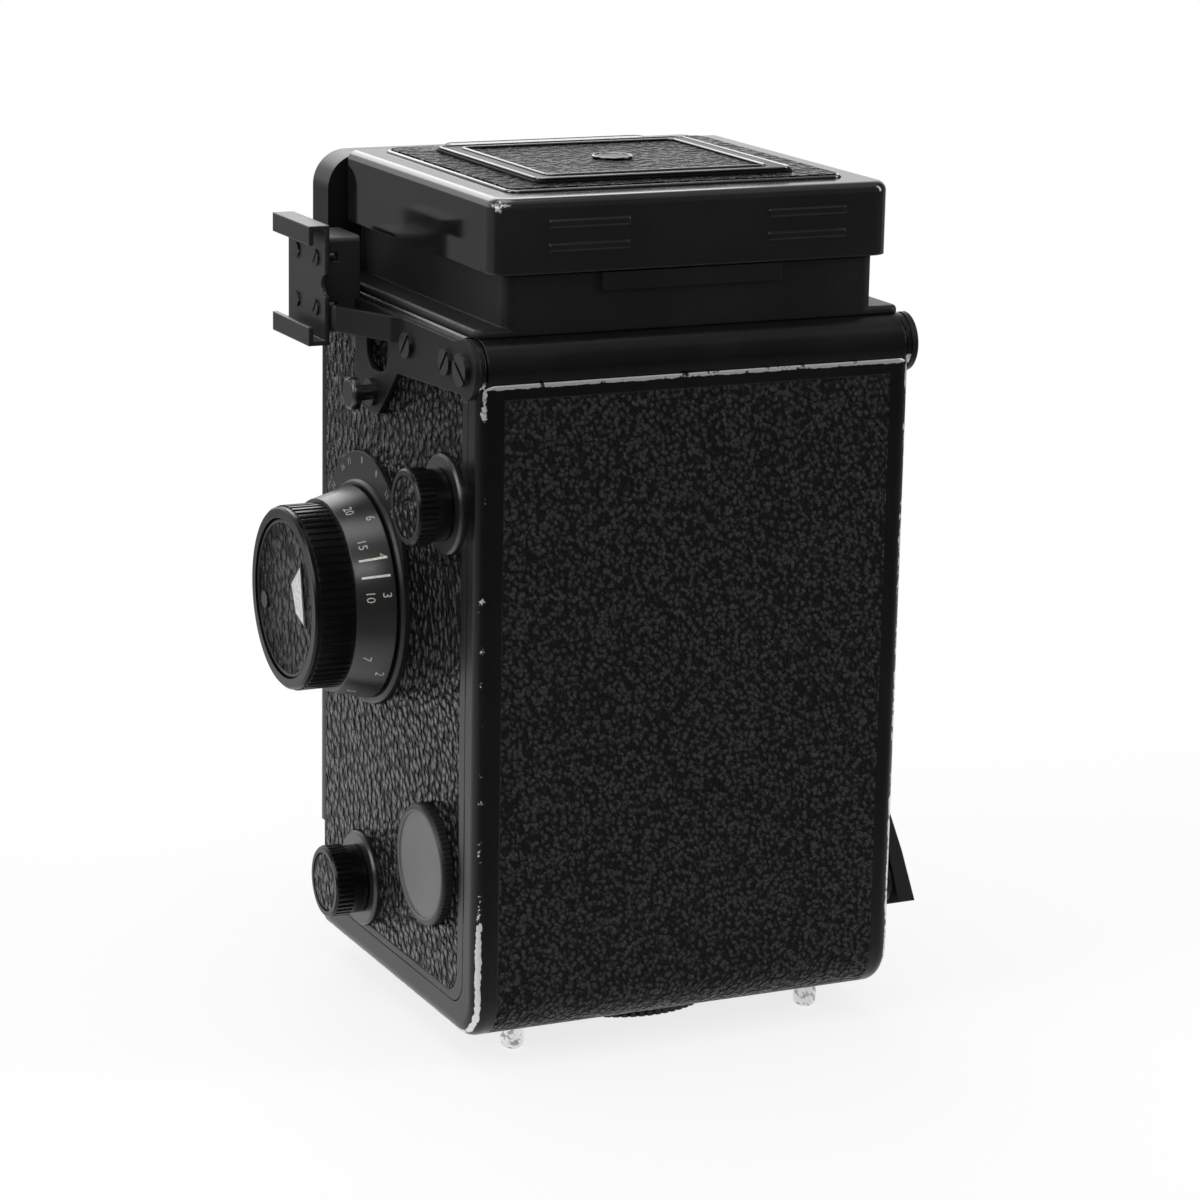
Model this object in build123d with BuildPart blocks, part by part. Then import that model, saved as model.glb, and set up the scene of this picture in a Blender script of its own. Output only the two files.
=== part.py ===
from build123d import *
import os
from math import atan2, cos, degrees, hypot, pi, radians, sin, sqrt

os.makedirs("parts", exist_ok=True)

# Twin lens reflex camera for roll film, sizes in millimetres.
# Frame: the origin is the mouth of the tripod socket, the lenses face -Y, +Z is up,
# and the focusing knob is on +X.

# Body
body_width = 78.5
body_depth = 71.5
body_height = 118.7
socket_to_back = 30.0
front_plate_thickness = 2.7
inner_half_width = 32.0
inner_wall = 1.4
partition = 1.2
deck_thickness = 2.8
seam_gap = 0.15

# Side covers and leather
leather_thickness = 0.6
cover_thickness = 1.3
panel_rear_margin = 7.5
panel_front_margin = 3.2
panel_base_margin = 7.0
panel_top_margin = 2.6
panel_corner = 4.4
panel_gap = 0.1

# Back door, its hinge, base latch and feet
door_height = 111.7
door_sheet = 0.7
door_flange = 1.0
door_wrap = 5.1
base_wrap = 5.6
door_corner = 8.0
seam_corner = 4.5
door_edge = 2.6
door_front_setback = 2.5
door_leather_margin = 4.15
door_leather_top = 109.15
hinge_radius = 5.0
hinge_gap = 0.15
hinge_pin_radius = 1.5
lock_ring_radius = 18.0
lock_ring_height = 3.4
lock_ring_gap = 0.3
socket_radius = 3.175
socket_depth = 6.0
bush_radius = 8.0
foot_radius = 2.0
foot_reach = 4.5
foot_half_spread = 28.0
foot_inset = 10.0
pressure_plate_width = 62.0
pressure_plate_height = 68.0
pressure_plate_thickness = 1.0

# Film transport
spool_length = 62.0
spool_flange_radius = 11.9
spool_core_radius = 5.5
spool_flange_thickness = 1.0
chamber_gap = 0.4
take_up_inset = 14.0
take_up_drop = 28.9
supply_inset = 21.1
supply_rise = 14.8
roller_radius = 2.2
roller_pin_radius = 0.8
gate_width = 56.0
gate_height = 55.0
gear_module = 0.8
crank_teeth = 40
idler_teeth = 22
take_up_teeth = 12
gear_thickness = 2.4
gear_drop = 12.0
idler_stud_radius = 2.0

# Optics
taking_rise = 45.1
viewing_drop = 31.6
mirror_lead = 0.6
mirror_thickness = 1.2
mirror_width = 58.0
screen_size = 54.6
screen_window = 52.0
screen_thickness = 1.6
screen_inset = 34.5

# Lens standard
standard_margin = 6.25
standard_rise = 23.6
standard_drop = 5.6
flange_margin = 2.25
standard_depth = 11.0
standard_wall = 1.8
standard_gap = 0.5
lens_radius = 16.5
lens_reach = 16.0
bayonet_radius = 18.0
bayonet_reach = 3.0
glass_radius = 13.0
glass_thickness = 5.0
glass_curve = 43.0
wheel_radius = 8.5
wheel_thickness = 2.4
wheel_offset = 20.0
release_x = -24.0
release_rise = 8.0
button_radius = 3.4
button_reach = 5.0
button_travel = 3.0
cable_socket_radius = 1.55
sync_boss_radius = 3.2
sync_boss_reach = 2.5
sync_socket_radius = 1.75
timer_x = 27.0
timer_rise = 30.0

# Focusing drive
focus_inset = 22.9
focus_rise = 67.2
focus_shaft_radius = 2.0
focus_travel = 6.1
focus_turn = 300.0
cam_base_radius = 3.4
cam_gap = 0.3
cam_thickness = 2.2
arm_width = 2.6
arm_height = 5.2
base_ring_radius = 19.5
base_ring_height = 1.35
dial_plate_radius = 18.4
dial_plate_rise = 6.0
dial_plate_height = 0.8
drum_radius = 18.4
drum_top_radius = 16.6
drum_length = 6.5
drum_gap = 0.5
knob_radius = 15.95
knob_length = 7.1
knob_rim = 2.1
knob_ridges = 66
knob_insert_radius = 12.9

# Spool knobs and port cover
port_inset = 20.0
port_rise = 26.4
spool_knob_radius = 6.4
spool_knob_length = 3.4
spool_neck_radius = 6.0
spool_knob_reach = 7.25
spool_ring_radius = 8.4
spool_ring_height = 1.0
spool_pin_radius = 3.0
spool_knob_ridges = 40
port_radius = 10.4
port_height = 1.8
port_ridges = 72

# Crank
crank_tip_inset = 10.0
crank_tip_rise = 12.0
crank_shaft_radius = 3.0
crank_hub_radius = 9.0
crank_hub_height = 1.5
crank_axis_reach = 3.2
crank_arm_thickness = 1.8
crank_arm_width = 7.4
crank_eye_radius = 1.35
crank_flare_start = 19.0
crank_tip_reach = 8.25
crank_tip_thickness = 3.2
crank_tip_length = 9.0
crank_handle_radius = 3.7
handle_pin_radius = 1.0

# Strap plates, studs and accessory shoe
strap_front_lap = 3.4
strap_plate_thickness = 1.0
strap_screw_radius = 2.2
strap_screw_shank = 0.9
stud_shank = 1.35
stud_head_radius = 2.8
stud_reach = 5.6
shoe_inset = 5.5
shoe_drop = 8.1
shoe_length = 17.4
shoe_height = 20.35
shoe_standoff = 7.05
shoe_sheet = 0.8
shoe_slot = 2.9
shoe_lip = 3.2

# Hood
hood_side_margin = 5.75
hood_flange_margin = 0.65
hood_front_inset = 5.0
hood_rear_inset = 4.0
hood_flange_thickness = 1.3
hood_wall = 1.2
hood_ring_height = 9.8
lid_side_margin = 3.25
lid_overhang = 1.1
lid_gap = 0.3
lid_height = 12.2
lid_sheet = 1.1
lid_corner = 3.4
lid_knuckle = 1.0
lid_pin_radius = 0.5
lid_leather_side = 6.1
lid_leather_margin = 6.0
finder_side = 12.4
finder_front_inset = 9.0
finder_rear_inset = 10.6
finder_rim = 3.5
finder_rise = 1.3
panel_sheet = 0.8
panel_reach = 29.6
panel_knuckle = 0.7
meter_reach = 5.8
meter_lap = 2.5
meter_side_margin = 0.55
meter_rise = 21.3
meter_drop = 4.3
meter_corner = 6.0

# Places that follow from the sizes above
half_width = body_width / 2
back_y = socket_to_back
front_y = back_y - body_depth
base_z = lock_ring_height
deck_z = base_z + body_height
casting_front_y = front_y + front_plate_thickness
casting_rear_y = back_y - door_wrap - seam_gap
casting_base_z = base_z + base_wrap + seam_gap
hinge_y = back_y - hinge_radius
hinge_z = deck_z - hinge_radius
door_inner = leather_thickness + door_sheet
door_leather_half = half_width - door_leather_margin
chamber_radius = spool_flange_radius + chamber_gap
wall_x = inner_half_width + inner_wall
cover_x = half_width - leather_thickness - cover_thickness
leather_x = half_width - leather_thickness
compartment_depth = cover_x - wall_x - 0.1
panel_rear_y = back_y - panel_rear_margin
panel_front_y = front_y + panel_front_margin
panel_base_z = base_z + panel_base_margin
panel_top_z = deck_z - panel_top_margin
panel_mid_y = (panel_rear_y + panel_front_y) / 2
panel_mid_z = (panel_top_z + panel_base_z) / 2
take_up_y = back_y - take_up_inset
take_up_z = deck_z - take_up_drop
supply_y = front_y + supply_inset
supply_z = base_z + supply_rise
spool_bore = spool_pin_radius + 0.08
taking_axis_z = base_z + taking_rise
viewing_axis_z = deck_z - viewing_drop
screen_y = front_y + screen_inset
mirror_rise = viewing_axis_z - screen_y + mirror_lead
standard_half_width = half_width - standard_margin
flange_half = half_width - flange_margin
standard_base_z = base_z + standard_rise
standard_top_z = deck_z - standard_drop
release_z = standard_base_z + release_rise
timer_z = standard_base_z + timer_rise
focus_y = front_y + focus_inset
focus_z = base_z + focus_rise
arm_x = cover_x - 0.85 - arm_width / 2
port_y = back_y - port_inset
port_z = base_z + port_rise
crank_tip_y = back_y - crank_tip_inset
crank_tip_z = base_z + crank_tip_rise
shoe_base_y = front_y + shoe_inset
shoe_base_z = deck_z - shoe_drop
strap_front_y = shoe_base_y + shoe_length - strap_front_lap
hood_half_width = half_width - hood_side_margin
hood_flange_half = half_width - hood_flange_margin
hood_front_y = front_y + hood_front_inset
hood_rear_y = back_y - hood_rear_inset
lid_half_width = half_width - lid_side_margin
lid_leather_half = lid_half_width - lid_leather_side
finder_half = lid_half_width - finder_side
finder_front_y = hood_front_y + finder_front_inset
finder_rear_y = hood_rear_y - finder_rear_inset
meter_front_y = front_y - meter_reach
meter_rear_y = front_y + meter_lap
meter_half_width = half_width - meter_side_margin
meter_top_z = deck_z + meter_rise
meter_base_z = deck_z - meter_drop


def save(part, name):
    part.label = name
    export_step(part, f"parts/{name}.step")


def side_plane(x):
    return Plane.YZ.offset(x)


def front_plane(y):
    return Plane.XZ.offset(-y)


def polygon(plane, points):
    with BuildSketch(plane) as outline:
        with BuildLine():
            Polyline(*points, close=True)
        make_face()
    return outline.sketch


def disc(plane, place, radius):
    with BuildSketch(plane) as outline:
        with Locations(place):
            Circle(radius)
    return outline.sketch


def ring(plane, place, outer, inner):
    with BuildSketch(plane) as outline:
        with Locations(place):
            Circle(outer)
            Circle(inner, mode=Mode.SUBTRACT)
    return outline.sketch


def box_face(plane, low, high, corner=0.0):
    centre = ((low[0] + high[0]) / 2, (low[1] + high[1]) / 2)
    with BuildSketch(plane) as outline:
        with Locations(centre):
            if corner > 0:
                RectangleRounded(high[0] - low[0], high[1] - low[1], corner)
            else:
                Rectangle(high[0] - low[0], high[1] - low[1])
    return outline.sketch


def knurled(plane, place, radius, ridges, depth):
    """A disc with one straight groove between each two ridges."""
    with BuildSketch(plane) as outline:
        with Locations(place):
            Circle(radius)
            with PolarLocations(radius, ridges):
                RegularPolygon(depth, 4, mode=Mode.SUBTRACT)
    return outline.sketch


def side_panel(plane, gap):
    """Outline of a side cover or leather: round low corner at the back, hollow at the hinge."""
    with BuildSketch(plane) as outline:
        with Locations((panel_mid_y, panel_mid_z)):
            Rectangle(panel_rear_y - panel_front_y - 2 * gap, panel_top_z - panel_base_z - 2 * gap)
        low_rear = outline.vertices().group_by(Axis.Y)[0].sort_by(Axis.X)[-1]
        fillet(low_rear, panel_corner)
        with Locations((hinge_y, hinge_z)):
            Circle(hinge_radius + 2 * hinge_gap, mode=Mode.SUBTRACT)
    return outline.sketch


# ---------------------------------------------------------------- film transport places
crank_span = gear_module * (crank_teeth + 2 * idler_teeth + take_up_teeth) / 2
crank_y = take_up_y - gear_drop
crank_z = take_up_z - sqrt(crank_span**2 - gear_drop**2)
train_angle = atan2(take_up_z - crank_z, take_up_y - crank_y)
idler_span = gear_module * (crank_teeth + idler_teeth) / 2
idler_y = crank_y + idler_span * cos(train_angle)
idler_z = crank_z + idler_span * sin(train_angle)
roller_y = casting_rear_y - roller_radius
gate_low_z = taking_axis_z - gate_height / 2
gate_high_z = taking_axis_z + gate_height / 2
upper_roller_z = gate_high_z + roller_radius + 1.4
lower_roller_z = gate_low_z - roller_radius - 1.4
compartment_front_y = casting_front_y + 2.3
compartment_rear_y = panel_rear_y - 0.6
compartment_base_z = panel_base_z + 1.6
compartment_top_z = panel_top_z - 1.6
mirror_offset = mirror_thickness * sqrt(2)
partition_offset = partition * sqrt(2)
gear_x = cover_x - 0.45


def mirror_line_z(y, drop):
    """Height of the reflecting plane at y, less a vertical drop."""
    return y + mirror_rise - drop


# Body casting: outer walls, mirror box, dark chamber, spool chambers, hinge barrel
chamber_floor_front = supply_z + chamber_radius + partition + 1.4
dark_chamber = [
    (casting_front_y + 2.0, chamber_floor_front),
    (supply_y + 6.4, chamber_floor_front - 1.0),
    (casting_rear_y + 1, gate_low_z),
    (casting_rear_y + 1, gate_high_z),
    (focus_y + 6.6, focus_z - focus_shaft_radius - partition - 2.9),
    (casting_front_y + 2.0, focus_z - focus_shaft_radius - partition - 5.4),
]
mirror_box_front = casting_front_y + 2.0
mirror_box_low_z = viewing_axis_z - lens_radius - 2.0
mirror_box_top_z = deck_z - deck_thickness
mirror_box = [
    (mirror_box_front, mirror_box_low_z),
    (mirror_box_low_z - mirror_rise + mirror_offset, mirror_box_low_z),
    (mirror_box_top_z - mirror_rise + mirror_offset, mirror_box_top_z),
    (mirror_box_front, mirror_box_top_z),
]
tunnel_drop = mirror_offset + partition_offset
tunnel_bend_y = focus_y + 16.6
tunnel_rear_y = focus_y + 26.6
shaft_tunnel = [
    (casting_front_y + 5.8, dark_chamber[-1][1] + 1.8),
    (casting_front_y + 5.8, mirror_box_low_z - partition),
    (mirror_box_low_z - partition - mirror_rise + tunnel_drop, mirror_box_low_z - partition),
    (tunnel_bend_y, mirror_line_z(tunnel_bend_y, tunnel_drop)),
    (tunnel_bend_y, focus_z + 9.4),
    (tunnel_rear_y, focus_z + 4.9),
    (tunnel_rear_y, focus_z + 3.2),
    (focus_y + 6.6, dark_chamber[-2][1] + 1.5),
]
film_path = [
    (supply_y + chamber_radius + partition, casting_base_z - 1),
    (supply_y + chamber_radius + partition, gate_low_z + 5.6),
    (casting_rear_y + 1, gate_low_z - partition),
    (casting_rear_y + 1, casting_base_z - 1),
]
body_outline = [
    (casting_front_y, casting_base_z),
    (casting_rear_y, casting_base_z),
    (casting_rear_y, deck_z),
    (casting_front_y, deck_z),
]
shoulder_radius = 1.2
with BuildPart() as whole_body:
    with BuildSketch(Plane.YZ):
        with BuildLine():
            Polyline(*body_outline, close=True)
        make_face()
        fillet(vertices().group_by(Axis.Y)[0].sort_by(Axis.X)[-1], seam_corner)
    extrude(amount=half_width, both=True)
    top_sides = edges().filter_by(Axis.Y).group_by(Axis.Z)[-1]
    fillet(top_sides, shoulder_radius)
    extrude(disc(Plane.YZ, (hinge_y, hinge_z), hinge_radius), amount=half_width - door_flange - 0.25, both=True)
    for side in (-1, 1):
        outer = side_plane(side * half_width)
        inward = -side
        extrude(disc(outer, (hinge_y, hinge_z), hinge_radius + hinge_gap),
                amount=inward * (door_flange + 0.25), mode=Mode.SUBTRACT)
        extrude(side_panel(outer, 0), amount=inward * (leather_thickness + cover_thickness), mode=Mode.SUBTRACT)
        extrude(box_face(side_plane(side * cover_x), (compartment_front_y, compartment_base_z),
                         (compartment_rear_y, compartment_top_z)),
                amount=inward * compartment_depth, mode=Mode.SUBTRACT)
        extrude(box_face(side_plane(side * (cover_x - 0.4)),
                         (casting_front_y - 1, focus_z - arm_height / 2 - 0.6),
                         (compartment_front_y + 1, focus_z + arm_height / 2 + 0.6)),
                amount=inward * (arm_width + 0.9), mode=Mode.SUBTRACT)
    extrude(polygon(Plane.YZ, mirror_box), amount=inner_half_width, both=True, mode=Mode.SUBTRACT)
    extrude(polygon(Plane.YZ, shaft_tunnel), amount=inner_half_width, both=True, mode=Mode.SUBTRACT)
    extrude(polygon(Plane.YZ, dark_chamber), amount=gate_width / 2, both=True, mode=Mode.SUBTRACT)
    extrude(polygon(Plane.YZ, film_path), amount=inner_half_width, both=True, mode=Mode.SUBTRACT)
    for y, z, exit_low, exit_high in (
        (take_up_y, take_up_z, (take_up_y, take_up_z - chamber_radius),
         (casting_rear_y + 1, take_up_z + chamber_radius)),
        (supply_y, supply_z, (supply_y - chamber_radius, casting_base_z - 1),
         (supply_y + chamber_radius, supply_z)),
    ):
        extrude(disc(Plane.YZ, (y, z), chamber_radius), amount=inner_half_width, both=True, mode=Mode.SUBTRACT)
        extrude(box_face(Plane.YZ, exit_low, exit_high), amount=inner_half_width, both=True,
                mode=Mode.SUBTRACT)
    roller_seat = roller_radius + chamber_gap
    extrude(box_face(Plane.YZ, (roller_y - roller_seat, upper_roller_z - roller_seat),
                     (casting_rear_y + 1, take_up_z - 6)),
            amount=inner_half_width, both=True, mode=Mode.SUBTRACT)
    extrude(box_face(Plane.YZ, (roller_y - roller_seat, casting_base_z - 1),
                     (casting_rear_y + 1, lower_roller_z + roller_seat)),
            amount=inner_half_width, both=True, mode=Mode.SUBTRACT)
    for y, z in ((take_up_y, take_up_z), (supply_y, supply_z)):
        extrude(disc(side_plane(leather_x), (y, z), spool_ring_radius + 0.1), amount=leather_thickness,
                mode=Mode.SUBTRACT)
    # bores through the inner side walls
    extrude(disc(Plane.YZ, (supply_y, supply_z), spool_bore), amount=wall_x + 0.1, mode=Mode.SUBTRACT)
    for y, z, radius in (
        (take_up_y, take_up_z, spool_bore),
        (focus_y, focus_z, focus_shaft_radius + 0.06),
        (roller_y, upper_roller_z, roller_pin_radius + 0.06),
        (roller_y, lower_roller_z, roller_pin_radius + 0.06),
    ):
        extrude(disc(Plane.YZ, (y, z), radius), amount=wall_x + 0.1, both=True, mode=Mode.SUBTRACT)
    # lens openings in the front wall
    with BuildSketch(front_plane(casting_front_y)):
        with Locations((0, viewing_axis_z)):
            Circle(lens_radius)
        with Locations((0, taking_axis_z)):
            Circle(13.5)
    extrude(amount=-2.5, mode=Mode.SUBTRACT)
    # screen window with its ledge in the deck
    with BuildSketch(Plane.XY.offset(deck_z)):
        with Locations((0, screen_y)):
            Rectangle(screen_window, screen_window)
    extrude(amount=-deck_thickness - 1, mode=Mode.SUBTRACT)
    with BuildSketch(Plane.XY.offset(deck_z)):
        with Locations((0, screen_y)):
            Rectangle(screen_size + 0.2, screen_size + 0.2)
    extrude(amount=-screen_thickness, mode=Mode.SUBTRACT)
    # bores for the hinge pins in the barrel's ends
    extrude(disc(Plane.YZ, (hinge_y, hinge_z), hinge_pin_radius), amount=half_width, both=True,
            mode=Mode.SUBTRACT)

# The side walls are castings of their own, bolted on below the hinge barrel
wall_top_z = hinge_z - hinge_radius - 0.6
wall_low = (casting_front_y - 1, casting_base_z - 1)
wall_high = (casting_rear_y + 1, wall_top_z)
with BuildPart() as body_casting:
    add(whole_body.part)
    for side in (-1, 1):
        extrude(box_face(side_plane(side * inner_half_width), wall_low, wall_high), amount=side * half_width,
                mode=Mode.SUBTRACT)
save(body_casting.part, "body_casting")

for side, name in ((1, "left_body_wall"), (-1, "right_body_wall")):
    with BuildPart() as body_wall:
        add(whole_body.part)
        extrude(box_face(side_plane(side * inner_half_width), wall_low, wall_high), amount=side * half_width,
                mode=Mode.INTERSECT)
        if side < 0:
            # spindle of the supply spool and stud of the middle gear
            extrude(disc(side_plane(-wall_x), (supply_y, supply_z), spool_pin_radius), amount=inner_wall + 2.0)
            extrude(disc(side_plane(-wall_x), (idler_y, idler_z), idler_stud_radius), amount=wall_x - gear_x)
    save(body_wall.part, name)


# ---------------------------------------------------------------- front plate and side covers
front_plate_base_z = base_z + 20.0
with BuildPart() as front_cover:
    with BuildSketch(front_plane(casting_front_y)):
        with Locations((0, (front_plate_base_z + deck_z) / 2)):
            Rectangle(body_width, deck_z - front_plate_base_z)
        with Locations((0, viewing_axis_z)):
            Circle(lens_radius + 1.0, mode=Mode.SUBTRACT)
        with Locations((0, taking_axis_z)):
            Circle(15.0, mode=Mode.SUBTRACT)
        for side in (-1, 1):
            with Locations((side * arm_x, focus_z)):
                Rectangle(arm_width + 0.9, arm_height + 1.2, mode=Mode.SUBTRACT)
    extrude(amount=front_plate_thickness)
    fillet(edges().filter_by(Axis.Z).group_by(Axis.Y)[0].sort_by(Axis.X)[0], 1.6)
    fillet(edges().filter_by(Axis.Z).group_by(Axis.Y)[0].sort_by(Axis.X)[-1], 1.6)
save(front_cover.part, "front_plate")

strap_tip = (strap_front_y + 9.0, deck_z - 19.2)
strap_screws = ((strap_front_y + 23.5, hinge_z), (hinge_y - 6.9, hinge_z + 0.1))
stud_place = (strap_tip[0] - 1.0, strap_tip[1] + 3.5)
port_core_radius = port_radius - 3.0


def left_holes(gap):
    """Openings of the left leather: round plates, knob rings and the port."""
    return (
        (focus_y, focus_z, base_ring_radius + gap),
        (focus_y, focus_z + dial_plate_rise, dial_plate_radius + gap),
        (take_up_y, take_up_z, spool_ring_radius + gap),
        (supply_y, supply_z, spool_ring_radius + gap),
        (port_y, port_z, port_radius + gap),
    )


def plate_holes(with_stud):
    """Holes under a strap plate for its screws and, in the leather, for the stud."""
    holes = [(y, z, strap_screw_shank + 0.06) for y, z in strap_screws]
    if with_stud:
        holes.append((*stud_place, stud_shank + 0.05))
    return tuple(holes)


left_bores = (
    (focus_y, focus_z, focus_shaft_radius + 0.3),
    (take_up_y, take_up_z, spool_bore),
    (supply_y, supply_z, spool_bore),
    (port_y, port_z, port_core_radius + 0.06),
    *plate_holes(False),
)
right_bores = ((crank_y, crank_z, crank_shaft_radius + 0.06), *plate_holes(False))
with BuildPart() as covers:
    for side, bores in ((1, left_bores), (-1, right_bores)):
        extrude(side_panel(side_plane(side * cover_x), panel_gap), amount=side * cover_thickness)
        for y, z, radius in bores:
            extrude(disc(side_plane(side * cover_x), (y, z), radius), amount=side * cover_thickness,
                    mode=Mode.SUBTRACT)
save(covers.part, "side_covers")

right_holes = ((crank_y, crank_z, crank_hub_radius + 0.4),)
with BuildPart() as side_skins:
    for side, holes in ((1, left_holes(0.15)), (-1, right_holes)):
        extrude(side_panel(side_plane(side * leather_x), panel_gap), amount=side * leather_thickness)
        for y, z, radius in holes + plate_holes(True):
            extrude(disc(side_plane(side * leather_x), (y, z), radius), amount=side * leather_thickness,
                    mode=Mode.SUBTRACT)
save(side_skins.part, "side_leathers")

# ---------------------------------------------------------------- back door
door_front_y = front_y + door_front_setback
door_top_z = base_z + door_height
door_wrap_y = back_y - door_wrap
base_wrap_z = base_z + base_wrap
foot_places = [
    (x, y)
    for x in (-foot_half_spread, foot_half_spread)
    for y in (back_y - foot_inset, door_front_y + foot_inset)
]


def door_band(outer_inset, inner_inset, top_z, front):
    """A band that follows the back and the base of the door between two insets."""
    with BuildSketch(Plane.YZ) as outline:
        with BuildLine():
            for inset in (outer_inset, inner_inset):
                FilletPolyline(
                    (back_y - inset, top_z), (back_y - inset, base_z + inset), (front, base_z + inset),
                    radius=door_corner - inset,
                )
            Line((back_y - outer_inset, top_z), (back_y - inner_inset, top_z))
            Line((front, base_z + outer_inset), (front, base_z + inner_inset))
        make_face()
    return outline.sketch


with BuildPart() as door_skin:
    extrude(door_band(0, leather_thickness, base_z + door_leather_top, door_front_y + 4.0),
            amount=door_leather_half, both=True)
    with BuildSketch(Plane.XY.offset(base_z)):
        Circle(bush_radius + 0.3)
        for place in foot_places:
            with Locations(place):
                Circle(foot_radius + 0.05)
    extrude(amount=leather_thickness, mode=Mode.SUBTRACT)
save(door_skin.part, "back_leather")

inner_flange_x = half_width - door_flange
with BuildPart() as door:
    with BuildSketch(Plane.YZ):
        with BuildLine():
            Polyline(
                (back_y, door_top_z), (back_y, base_z), (door_front_y, base_z),
                (door_front_y, base_wrap_z), (door_wrap_y, base_wrap_z), (door_wrap_y, door_top_z),
                close=True,
            )
        make_face()
        fillet(vertices().group_by(Axis.Y)[0].sort_by(Axis.X)[-1], door_corner)
        fillet(vertices().sort_by_distance((door_wrap_y, base_wrap_z))[0], seam_corner)
    extrude(amount=half_width, both=True)
    outer_edges = edges().filter_by(lambda e: abs(abs(e.center().X) - half_width) < 0.01
                                    and (e.center().Y > back_y - 3 or e.center().Z < base_z + 1))
    fillet(outer_edges, door_edge)
    # the pan: everything inside the sheet and between the flanges is open
    with BuildSketch(Plane.YZ):
        with BuildLine():
            Polyline(
                (back_y - door_inner, door_top_z + 1), (back_y - door_inner, base_z + door_inner),
                (door_front_y + door_flange, base_z + door_inner),
                (door_front_y + door_flange, base_wrap_z + 1),
                (door_wrap_y - seam_corner - 3, base_wrap_z + 1),
                (door_wrap_y - 1, base_wrap_z + seam_corner + 3),
                (door_wrap_y - 1, door_top_z + 1),
                close=True,
            )
        make_face()
        fillet(vertices().sort_by_distance((back_y - door_inner, base_z + door_inner))[0],
               door_corner - door_inner)
    extrude(amount=inner_flange_x, both=True, mode=Mode.SUBTRACT)
    # hinge lugs on the flanges, and the top edge hollowed round the hinge barrel
    for side in (-1, 1):
        extrude(disc(side_plane(side * inner_flange_x), (hinge_y, hinge_z), hinge_radius - hinge_gap),
                amount=side * door_flange)
        extrude(disc(side_plane(side * inner_flange_x), (hinge_y, hinge_z), hinge_pin_radius + 0.05),
                amount=side * door_flange, mode=Mode.SUBTRACT)
    extrude(disc(Plane.YZ, (hinge_y, hinge_z), hinge_radius + hinge_gap), amount=inner_flange_x, both=True,
            mode=Mode.SUBTRACT)
    add(door_skin.part, mode=Mode.SUBTRACT)
    with BuildSketch(Plane.XY.offset(base_z)):
        Circle(bush_radius)
        for place in foot_places:
            with Locations(place):
                Circle(foot_radius)
    extrude(amount=door_inner + 1, mode=Mode.SUBTRACT)
save(door.part, "back_door")


# ---------------------------------------------------------------- what the door carries
floor_z = base_z + door_inner
with BuildPart() as foot_studs:
    for x, y in foot_places:
        with Locations((x, y, base_z + door_inner)):
            Cylinder(foot_radius, foot_reach + door_inner, align=(Align.CENTER, Align.CENTER, Align.MAX))
    fillet(edges().group_by(Axis.Z)[0], foot_radius * 0.6)
save(foot_studs.part, "feet")

bush_flange = 1.2
with BuildPart() as bush:
    with BuildSketch(Plane.XY):
        Circle(bush_radius)
    extrude(amount=floor_z)
    with BuildSketch(Plane.XY.offset(floor_z)):
        Circle(bush_radius + 2.0)
    extrude(amount=bush_flange + 0.6)
    with BuildSketch(Plane.XY):
        Circle(socket_radius)
    extrude(amount=socket_depth - 1.0, mode=Mode.SUBTRACT)
    chamfer(edges().filter_by(GeomType.CIRCLE).group_by(Axis.Z)[0].sort_by(SortBy.RADIUS)[-1], 0.3)
save(bush.part, "tripod_bush")

lock_ring_bore = bush_radius + 0.1
with BuildPart() as lock:
    with BuildSketch(Plane.XY):
        add(knurled(Plane.XY, (0, 0), lock_ring_radius, 72, 0.6))
        Circle(lock_ring_bore, mode=Mode.SUBTRACT)
    extrude(amount=lock_ring_height - lock_ring_gap)
    chamfer(edges().group_by(Axis.Z)[0].filter_by(GeomType.CIRCLE), 0.2)
save(lock.part, "lock_ring")

# pressure plate behind the film, on two leaf springs fixed to the door
plate_front_y = casting_rear_y + 0.35
with BuildPart() as plate:
    with BuildSketch(front_plane(plate_front_y)):
        with Locations((0, taking_axis_z)):
            RectangleRounded(pressure_plate_width, pressure_plate_height, 2.0)
    extrude(amount=-pressure_plate_thickness)
save(plate.part, "pressure_plate")

spring_sheet = 0.3
spring_span = 34.0
spring_x = 20.0
plate_back_y = plate_front_y + pressure_plate_thickness
door_inner_y = back_y - door_inner
with BuildPart() as leaf_springs:
    for x in (-spring_x, spring_x):
        with BuildSketch(side_plane(x)):
            with BuildLine():
                bow = ThreePointArc(
                    (door_inner_y - spring_sheet, taking_axis_z - spring_span / 2),
                    (plate_back_y + 0.45, taking_axis_z),
                    (door_inner_y - spring_sheet, taking_axis_z + spring_span / 2),
                )
                Line(bow @ 1, (door_inner_y, taking_axis_z + spring_span / 2))
                ThreePointArc(
                    (door_inner_y, taking_axis_z + spring_span / 2),
                    (plate_back_y + 0.45 + spring_sheet, taking_axis_z),
                    (door_inner_y, taking_axis_z - spring_span / 2),
                )
                Line((door_inner_y, taking_axis_z - spring_span / 2), bow @ 0)
            make_face()
        extrude(amount=3.0, both=True)
save(leaf_springs.part, "pressure_springs")

# ---------------------------------------------------------------- film transport
with BuildPart() as spool:
    extrude(disc(Plane.YZ, (take_up_y, take_up_z), spool_core_radius), amount=spool_length / 2 - 0.3, both=True)
    for side in (-1, 1):
        extrude(disc(side_plane(side * (spool_length / 2 - 0.3)), (take_up_y, take_up_z), spool_flange_radius),
                amount=-side * spool_flange_thickness)
        extrude(disc(side_plane(side * spool_length / 2), (take_up_y, take_up_z), spool_bore),
                amount=-side * 8.0, mode=Mode.SUBTRACT)
save(spool.part, "take_up_spool")


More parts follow.
